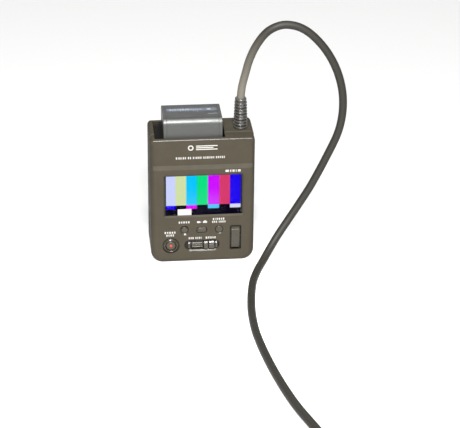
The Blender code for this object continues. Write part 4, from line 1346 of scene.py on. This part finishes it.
def battery_bay():
    """The tray, with guide ribs on its back wall, and the terminal on its floor."""
    corner, far = low("battery_bay"), high("battery_bay")
    floor = corner.z + 1.5
    tray = node_box("bay_tray", "battery_bay")
    hollow = rounded_rectangle(BAY_X, BAY_Y, BAY_CORNER, steps=4)
    cut(tray, prism("bay_hollow", along_z, hollow, (floor, far.z + 5)))
    rib_y = (far.y - BAY_WALL - 0.25, far.y - 0.5)
    ribs = [
        box(f"bay_rib_{i}", around(BAY_X[0] + 1.6 + 1.5 * i, 0.5), rib_y, (floor + 2, far.z - 1))
        for i in range(4)
    ]
    join(tray, *ribs)
    piece(tray, "case", "dark_plastic", "battery_bay")

    corner, far = low("battery_terminal"), high("battery_terminal")
    terminal = soft_edges(node_box("terminal_block", "battery_terminal"), 0.25)
    slot_x, slot_z = (corner.x - 1, far.x - 1.0), (far.z - 0.8, far.z + 1)
    slots = [box(f"contact_{i}", slot_x, around(corner.y + 2.0 + 2.7 * i, 0.8), slot_z) for i in range(4)]
    cut(terminal, *slots)
    piece(terminal, "case", "dark_plastic", "battery_terminal")


def pack_outline(grow, below, edge):
    """The battery's section, seen from its end, grown on three sides and lowered on the fourth."""
    corner, far = low("battery_case"), high("battery_case")
    y, z = (corner.y - grow, far.y + grow), (corner.z - below, far.z + grow)
    return softened(((y[0], z[0]), (y[1], z[0]), (y[1], z[1], edge), (y[0], z[1], edge)), steps=12)


def battery():
    """The pack's shell with rounded long edges and end seams, its base and its label."""
    corner, far = low("battery_case"), high("battery_case")
    shell = prism("battery_shell", along_x, pack_outline(0, 0, BATTERY_EDGE), (corner.x, far.x))
    soft_edges(shell, 0.25, angle=60)
    wall = 1.2
    inner_x, inner_y = (corner.x + wall, far.x - wall), (corner.y + wall, far.y - wall)
    cut(shell, box("cell_cut", inner_x, inner_y, (corner.z - 1, far.z - 3.0)))
    seam, seam_depth, seam_in = 0.22, 0.12, 2.6
    grown = pack_outline(1, 1, BATTERY_EDGE + 1)
    kept = pack_outline(-seam_depth, 2, BATTERY_EDGE)
    grooves = [
        tube(f"seam_{i}", along_x, grown, kept, around(at, seam))
        for i, at in enumerate((corner.x + seam_in, far.x - seam_in))
    ]
    cut(shell, *grooves)
    piece(shell, "battery", "battery_plastic", "battery_case")

    corner, far = low("battery_base"), high("battery_base")
    base = soft_edges(node_box("battery_foot", "battery_base"), 0.3)
    slot = box("contact_cut", (6.2, far.x + 1), (y_at(15.4), y_at(28.6)), (corner.z - 1, corner.z + 1.3))
    hook_y, hook_z = (corner.y - 1, corner.y + 1.0), (corner.z - 1, corner.z + 1.2)
    hooks = [box(f"hook_cut_{i}", around(corner.x + 8 + 14 * i, 4), hook_y, hook_z) for i in range(3)]
    cut(base, slot, *hooks)
    piece(base, "battery", "dark_plastic", "battery_base")
    battery_label()


def battery_label():
    """A blue-grey pill along the middle of the top, with pale blocks in place of print."""
    far, whole = high("battery_case"), extent("battery_case")

    def on_battery(a, b, depth):
        return (a, b, far.z - depth)

    x, y = middle("battery_case").x, far.y - 0.42 * whole.y
    length, width = 0.88 * whole.x, 0.17 * whole.y
    pill = rectangle((x, y), (length, width), width / 2 - 0.02, steps=12)
    blue = surface("pill_look", (0.055, 0.07, 0.1), 0.3, grain=0.002, mottle=0.05, edge_wear_and_highlight=0.0)
    label = block("battery_pill", on_battery, pill, -0.06, 0.06, 0.03, 0, 2)
    piece(label, "battery", "battery_plastic", material=blue)
    patches, at = [], x - 0.43 * length
    for tall, parts in PILL_BLOCKS:
        for part in parts:
            patches.append(((at, at + part), around(y, tall)))
            at += part + 0.45
    patches.append(((x + 0.3 * length, x + 0.38 * length), around(y, 2.7)))
    patches.append((around(x + 0.4 * length, 7.5), around(y - 0.27 * whole.y, 0.3)))
    pale = surface("battery_print_look", (0.22, 0.235, 0.24), 0.4, grain=0.002, edge_wear_and_highlight=0.0)
    blocks = plates("battery_print", on_battery, patches, (-0.09, 0.05), share=0.25)
    piece(blocks, "battery", "white_plastic", material=pale)


def cells():
    """Each cell: a wrapped can with a groove near one end and a raised contact on it."""
    radius = 7.0
    for i in range(1, 5):
        node = f"battery_cell_{i}"
        centre, end = middle(node), extent(node).x
        profile = [(0, 0), (0, radius - 1.2), (0.25, radius - 0.4), (0.7, radius), (end - 2.6, radius)]
        profile += [(end - 2.2, radius - 0.35), (end - 1.6, radius - 0.35), (end - 1.2, radius)]
        profile += [(end - 0.5, radius), (end - 0.1, radius - 0.5), (end - 0.1, 2.4), (end, 2.2), (end, 0)]
        can = turned(f"cell_can_{i}", (low(node).x, centre.y, centre.z), (1, 0, 0), profile, steps=48)
        piece(can, "battery", "cell_wrap", node)


# ---------------------------------------------------------------- left side


def door_outline(node, upright):
    """The door's section, with its hinged edge rounded about the pin, and the pin's place."""
    corner, far = low(node), high(node)
    radius = (far.x - corner.x) / 2
    pin_x = corner.x + radius
    free, hinge, side = (corner.y, far.y - radius, 1) if upright else (far.z, corner.z + radius, -1)
    outline = [(corner.x, free), (corner.x, hinge)]
    for turn in turns(15, 165, 10):
        outline.append((pin_x - radius * math.cos(turn), hinge + side * radius * math.sin(turn)))
    return outline + [(far.x, hinge), (far.x, free)], pin_x, hinge


def door(node, upright):
    """A door in the left side, hinged on an upright or a level pin, with a thumb nick."""
    corner, far, centre = low(node), high(node), middle(node)
    outline, pin_x, hinge = door_outline(node, upright)
    if upright:
        along, ends, way = along_z, (corner.z, far.z), (0, 0, 1)
        pin, thumb = (pin_x, hinge, corner.z - 1), (corner.y - 0.4, centre.z)
    else:
        along, ends, way = along_y, (corner.y, far.y), (0, 1, 0)
        pin, thumb = (pin_x, corner.y - 1, hinge), (centre.y, far.z + 0.4)
    panel = soft_edges(prism(node + "_panel", along, outline, ends), 0.25, angle=60)
    bore = rod("bore", pin, way, ends[1] - ends[0] + 2, 0.6, steps=24)
    scoop = ((-1, 3.2), (0.1, 2.6), (0.9, 1.4), (0.9, 0))
    cut(panel, bore, turned("nick", (corner.x - 0.1, *thumb), (1, 0, 0), scoop, steps=48))
    return piece(panel, node, "case_plastic", node)


def left_side():
    """The two doors with their icons, the sockets behind one and the card behind the other."""
    door("jack_cover", True)
    door("card_door", False)
    for body, parts in DOOR_ICONS.items():
        centre = middle(body)
        patches = [(around(centre.y + a, width), around(centre.z + b, tall)) for a, b, width, tall in parts]
        printed(plates(body + "_icon", on_left, patches, radius=0.12), body)

    x, y = low("jack_block").x, middle("jack_block").y
    sockets = soft_edges(node_box("jack_sockets", "jack_block"), 0.3)
    cuts = []
    for i, (z, radius) in enumerate(((69.6, 1.9), (55.2, 1.8))):
        profile = ((-2, radius + 0.9), (0, radius + 0.9), (0.5, radius), (9.5, radius))
        cuts.append(turned(f"jack_cut_{i}", (x, y, z), (1, 0, 0), profile, steps=32))
    cuts.append(box("data_cut", (x - 2, x + 8), around(y, 3.2), around(62.2, 8.0)))
    cut(sockets, *cuts)
    piece(sockets, "case", "dark_plastic", "jack_block")
    memory_card()


def memory_card():
    """The card, with a grip line and a row of contact pockets."""
    corner, far = low("memory_card"), high("memory_card")
    card = soft_edges(node_box("card_body", "memory_card"), 0.2)
    contact_x, contact_y = (far.x - 4.5, far.x - 1.0), (far.y - 0.3, far.y + 1)
    contacts = [
        box(f"card_cut_{i}", contact_x, contact_y, around(corner.z + 2.0 + 1.75 * i, 1.1))
        for i in range(10)
    ]
    grip_x, grip_y = (corner.x + 0.7, corner.x + 1.2), (corner.y - 1, corner.y + 0.15)
    cut(card, box("card_grip", grip_x, grip_y, (corner.z + 2, far.z - 2)), *contacts)
    piece(card, "memory_card", "dark_plastic", "memory_card")


# ---------------------------------------------------------------- back and right side


def screws():
    """Four screws with a rounded head, a cross recess and a thread."""
    head = [(0.25, 0), (0.2, 1.0), (0.25, 1.9), (0.45, 2.45), (0.8, 2.6), (1.0, 1.15)]
    pitch = 0.8
    thread = []
    for turn in range(12):
        along = 1.4 + pitch * turn
        thread += [(along, 0.85), (along + pitch / 2, 1.15)]
    for i, node in enumerate(REAR_SCREWS):
        (x, z), back = seen(node), high(node).y
        profile = head + thread + [(11.4, 0.6), (11.6, 0)]
        screw = turned(f"screw_{i + 1}", (x, back, z), FROM_BACK, profile, steps=32)
        deep = (back - 0.9, back + 1)
        cross = [box("cross", around(x, w), deep, around(z, h)) for w, h in ((2.4, 0.5), (0.5, 2.4))]
        cut(screw, *cross)
        piece(screw, "case", "steel", node)


def tripod_socket():
    """A brass insert with a quarter-inch thread of 20 turns to the inch."""
    node = "tripod_socket"
    x, z = seen(node)
    pitch, crest, root = 1.27, 2.6, 3.18
    profile = [(5.7, 0), (5.7, root)]
    for i in (3, 2, 1, 0):
        along = 0.4 + pitch * i
        profile += [(along + pitch * 0.98, root), (along + pitch * 0.5, crest)]
    profile += [(0.4, root), (0, root + 0.35), (0, 4.6), (0.3, 4.9), (2.1, 4.9), (2.1, 7.0), (3.8, 7.0)]
    profile += [(3.8, 4.9), (7.0, 4.9), (7.0, 0)]
    piece(turned("thread_insert", (x, high(node).y, z), FROM_BACK, profile), "case", "brass", node)


def thumb_slide(name, node, face, cap, plate, ridges, lip):
    """A ridged cap, and the plate behind the wall that keeps it in its slot."""
    outline, back = cap
    slide = block(name, face, outline, 0.1, back, 0.4, 0, 5)
    join(slide, block(name + "_plate", face, *plate, 0.1, 0.1, 2))
    cut(slide, *[dish("ridge", face, ridge, lip, 2 * lip, 2 * lip) for ridge in ridges])
    piece(slide, node, "button_plastic", node)


def release_slide():
    """The slide that frees the battery, and the printed arrow beside it."""
    x, z = seen("battery_release")
    cap = (rectangle((x, z), RELEASE_SIZE, 0.9), 3.0)
    plate = (rectangle((x, z), (15.0, 9.6), 0.4), 2.4, 4.1)
    ridges = [rectangle((x + 1.6 * (i - 2), z), (0.35, 4.6), 0.15, steps=3) for i in range(5)]
    thumb_slide("release_slide", "battery_release", on_back, cap, plate, ridges, 0.3)
    arrow = ((x - 9.8, z), (x - 8.4, z + 0.9), (x - 8.4, z - 0.9))
    printed(prism("release_arrow", on_back, arrow, (-PRINT, PRINT)))


def power_knob():
    """The power slide, its two printed marks, and a gasket that closes the view through its slot."""
    y, z = middle("power_switch").yz
    cap = (rectangle((y, z), POWER_SIZE, 0.7), 2.6)
    plate = (rectangle((y, z), (7.0, 9.0), 0.4), 2.25, 3.85)
    ridges = [rectangle((y, z + 1.3 * (i - 1)), (3.0, 0.3), 0.12, steps=3) for i in range(3)]
    thumb_slide("power_knob", "power_switch", on_right, cap, plate, ridges, 0.25)
    mark_y = y - 4.2
    printed(plates("power_on_mark", on_right, [(around(mark_y, 0.5), around(z + POWER_TRAVEL, 1.8))]))
    behind = rectangle((y, z + POWER_TRAVEL / 2), (9.6, 19.0), 1.0)
    piece(block("power_gasket", on_right, behind, 4.05, 4.3, 0, 0), "case", "rubber")
    ring_mark("power_off_mark", on_right, (mark_y, z), 0.95, 0.6)


# ---------------------------------------------------------------- relief, tie and connector


def sector(name, centre, z, radii, angle, spread, steps=6):
    """A block between two radii about a vertical axis."""
    arc = turns(angle - spread / 2, angle + spread / 2, steps)
    rim = [(radii[1], turn) for turn in arc] + [(radii[0], turn) for turn in arc[::-1]]
    return prism(name, along_z, [polar(centre, reach, turn) for reach, turn in rim], z)


def strain_relief():
    """A ribbed sleeve. Two spines cross each gap between ribs, a quarter turn on from the last."""
    node = "strain_relief"
    centre, foot = middle(node), low(node).z
    ribs, pitch, first, thick = 9, 2.45, 5.9, 0.95
    core, rounding = 3.25, thick / 2
    profile = [(0, 0), (0, 6.8), (3.0, 6.8), (3.0, 4.7), (5.2, 4.7), (5.6, 5.3)]
    spines = []
    for i in range(ribs):
        bottom = first + pitch * i
        radius = 5.6 - 0.75 * i / (ribs - 1)
        for turn in turns(-90, 90, 6):
            reach = radius - rounding * 0.6 + rounding * 0.6 * math.cos(turn)
            profile.append((bottom + rounding + rounding * math.sin(turn), reach))
        profile += [(bottom + thick + 0.02, core), (bottom + pitch - 0.05, core)]
        z = (foot + bottom + thick - 0.3, foot + bottom + pitch + 0.3)
        for angle in (90, 270) if i % 2 else (0, 180):
            spines.append(sector(f"spine_{i}", centre, z, (core - 0.5, radius - 0.45), angle, 44))
    top, cap_radius, bore = first + pitch * ribs, 4.45, CORD_RADIUS + 0.08
    profile += [(top, cap_radius - 0.3), (top + 0.3, cap_radius), (top + 1.1, cap_radius)]
    profile += [(top + 1.6, cap_radius - 0.25), (top + 1.85, cap_radius - 0.8)]
    profile += [(top + 1.85, bore), (top + 0.2, bore), (top + 0.2, 0)]
    sleeve = turned("relief_sleeve", (centre.x, centre.y, foot), (0, 0, 1), profile, steps=72)
    join(sleeve, *spines)
    grey = surface("relief_look", (0.04, 0.0385, 0.034), 0.3, specular=0.7, grain=0.004, edge_wear_and_highlight=0.3)
    piece(sleeve, "case", "rubber", node, material=grey, angle=50)


def cable_tie():
    """A strap once round the coil's bundle, its end lapped over on top."""
    node = "cable_tie"
    corner, far = low(node), high(node)
    thick = 0.8
    outer = rounded_rectangle((corner.x, far.x), (corner.z, far.z), 3.0, steps=8)
    inner_x, inner_z = (corner.x + thick, far.x - thick), (corner.z + thick, far.z - thick)
    inner = rounded_rectangle(inner_x, inner_z, 2.2, steps=8)
    strap = tube("tie_strap", along_y, outer, inner, (corner.y, far.y))
    lap = rounded_rectangle((corner.x + 4.0, far.x - 3.0), (corner.y + 0.4, far.y - 0.4), 2.0)
    soft_edges(strap, 0.2, angle=60)
    join(strap, prism("tie_lap", along_z, lap, (far.z - 0.1, far.z + 0.7)))
    piece(strap, "case", "rubber", node)


def connector():
    """The far end: boot with grip ribs, knurled shell, fluted locking ring and contact insert."""
    boot_at = middle("connector_boot")
    start = Vector((high("connector_boot").x, boot_at.y, boot_at.z))
    along = (-1, 0, 0)
    boot = [(0, 0), (0, 3.8), (0.4, 4.1)]
    for i in range(6):
        at, radius = 2.0 + 2.0 * i, 4.15 + 0.2 * i
        groove = radius - 0.6
        boot += [(at, radius), (at + 0.3, groove), (at + 0.9, groove), (at + 1.2, radius + 0.1)]
    boot += [(14.6, 5.5), (19.6, 5.6), (20.0, 5.2), (20.0, 0)]
    piece(turned("boot", start, along, boot), "case", "rubber", "connector_boot")

    body = [(20.3, 0, 0), (20.3, 6.8, 0), (20.8, 7.2, 0), (23.0, 7.7, 0), (23.4, 7.8, 0), (23.6, 7.8, 0.3)]
    body += [(31.6, 7.8, 0.3), (31.8, 7.8, 0), (32.6, 7.8, 0), (33.0, 7.5, 0), (33.0, 6.6, 0)]
    body += [(43.6, 6.6, 0), (44.0, 6.3, 0), (44.0, 5.6, 0), (34.0, 5.6, 0), (34.0, 0, 0)]
    piece(fluted("plug_shell", start, along, body, 48, steps_each=4), "case", "steel", "connector_shell")

    ring = [(33.4, 6.95, 0), (33.4, 8.7, 0), (33.8, 9.0, 0), (34.6, 9.0, 0), (34.9, 9.0, 0.6)]
    ring += [(40.4, 9.0, 0.6), (40.7, 9.0, 0), (41.5, 9.0, 0), (42.0, 8.6, 0), (42.0, 6.95, 0)]
    locking = fluted("locking_ring", start, along, ring, 18, closed=True, steps_each=8)
    piece(locking, "connector_ring", "steel", "connector_ring")

    face = ((34.3, 0), (34.3, 5.2), (42.2, 5.2), (42.5, 4.9), (42.5, 0))
    insert = turned("plug_insert", start, along, face)
    holes = []
    for count, reach in ((9, 3.7), (4, 1.6)):
        for i in range(count):
            place = (start.x - 40.0, *polar((start.y, start.z), reach, math.tau * i / count))
            holes.append(rod("hole", place, along, 4.0, 0.45, steps=16))
    key_z = (start.z + 4.6, start.z + 6)
    holes.append(box("key_cut", (start.x - 43, start.x - 38), around(start.y, 1.2), key_z))
    cut(insert, *holes)
    piece(insert, "case", "dark_plastic", "connector_insert")


def main():
    camera()
    lead()
    studio()
    dress_frame()
    front_cover()
    rear_cover()
    trims()
    display()
    start_stop()
    round_cap("photo_button", 0.25)
    round_cap("display_button", 0.15)
    mode_cap()
    strip()
    zoom_paddle()
    marks()
    battery_bay()
    battery()
    cells()
    left_side()
    screws()
    tripod_socket()
    release_slide()
    power_knob()
    strain_relief()
    cable_tie()
    connector()


main()
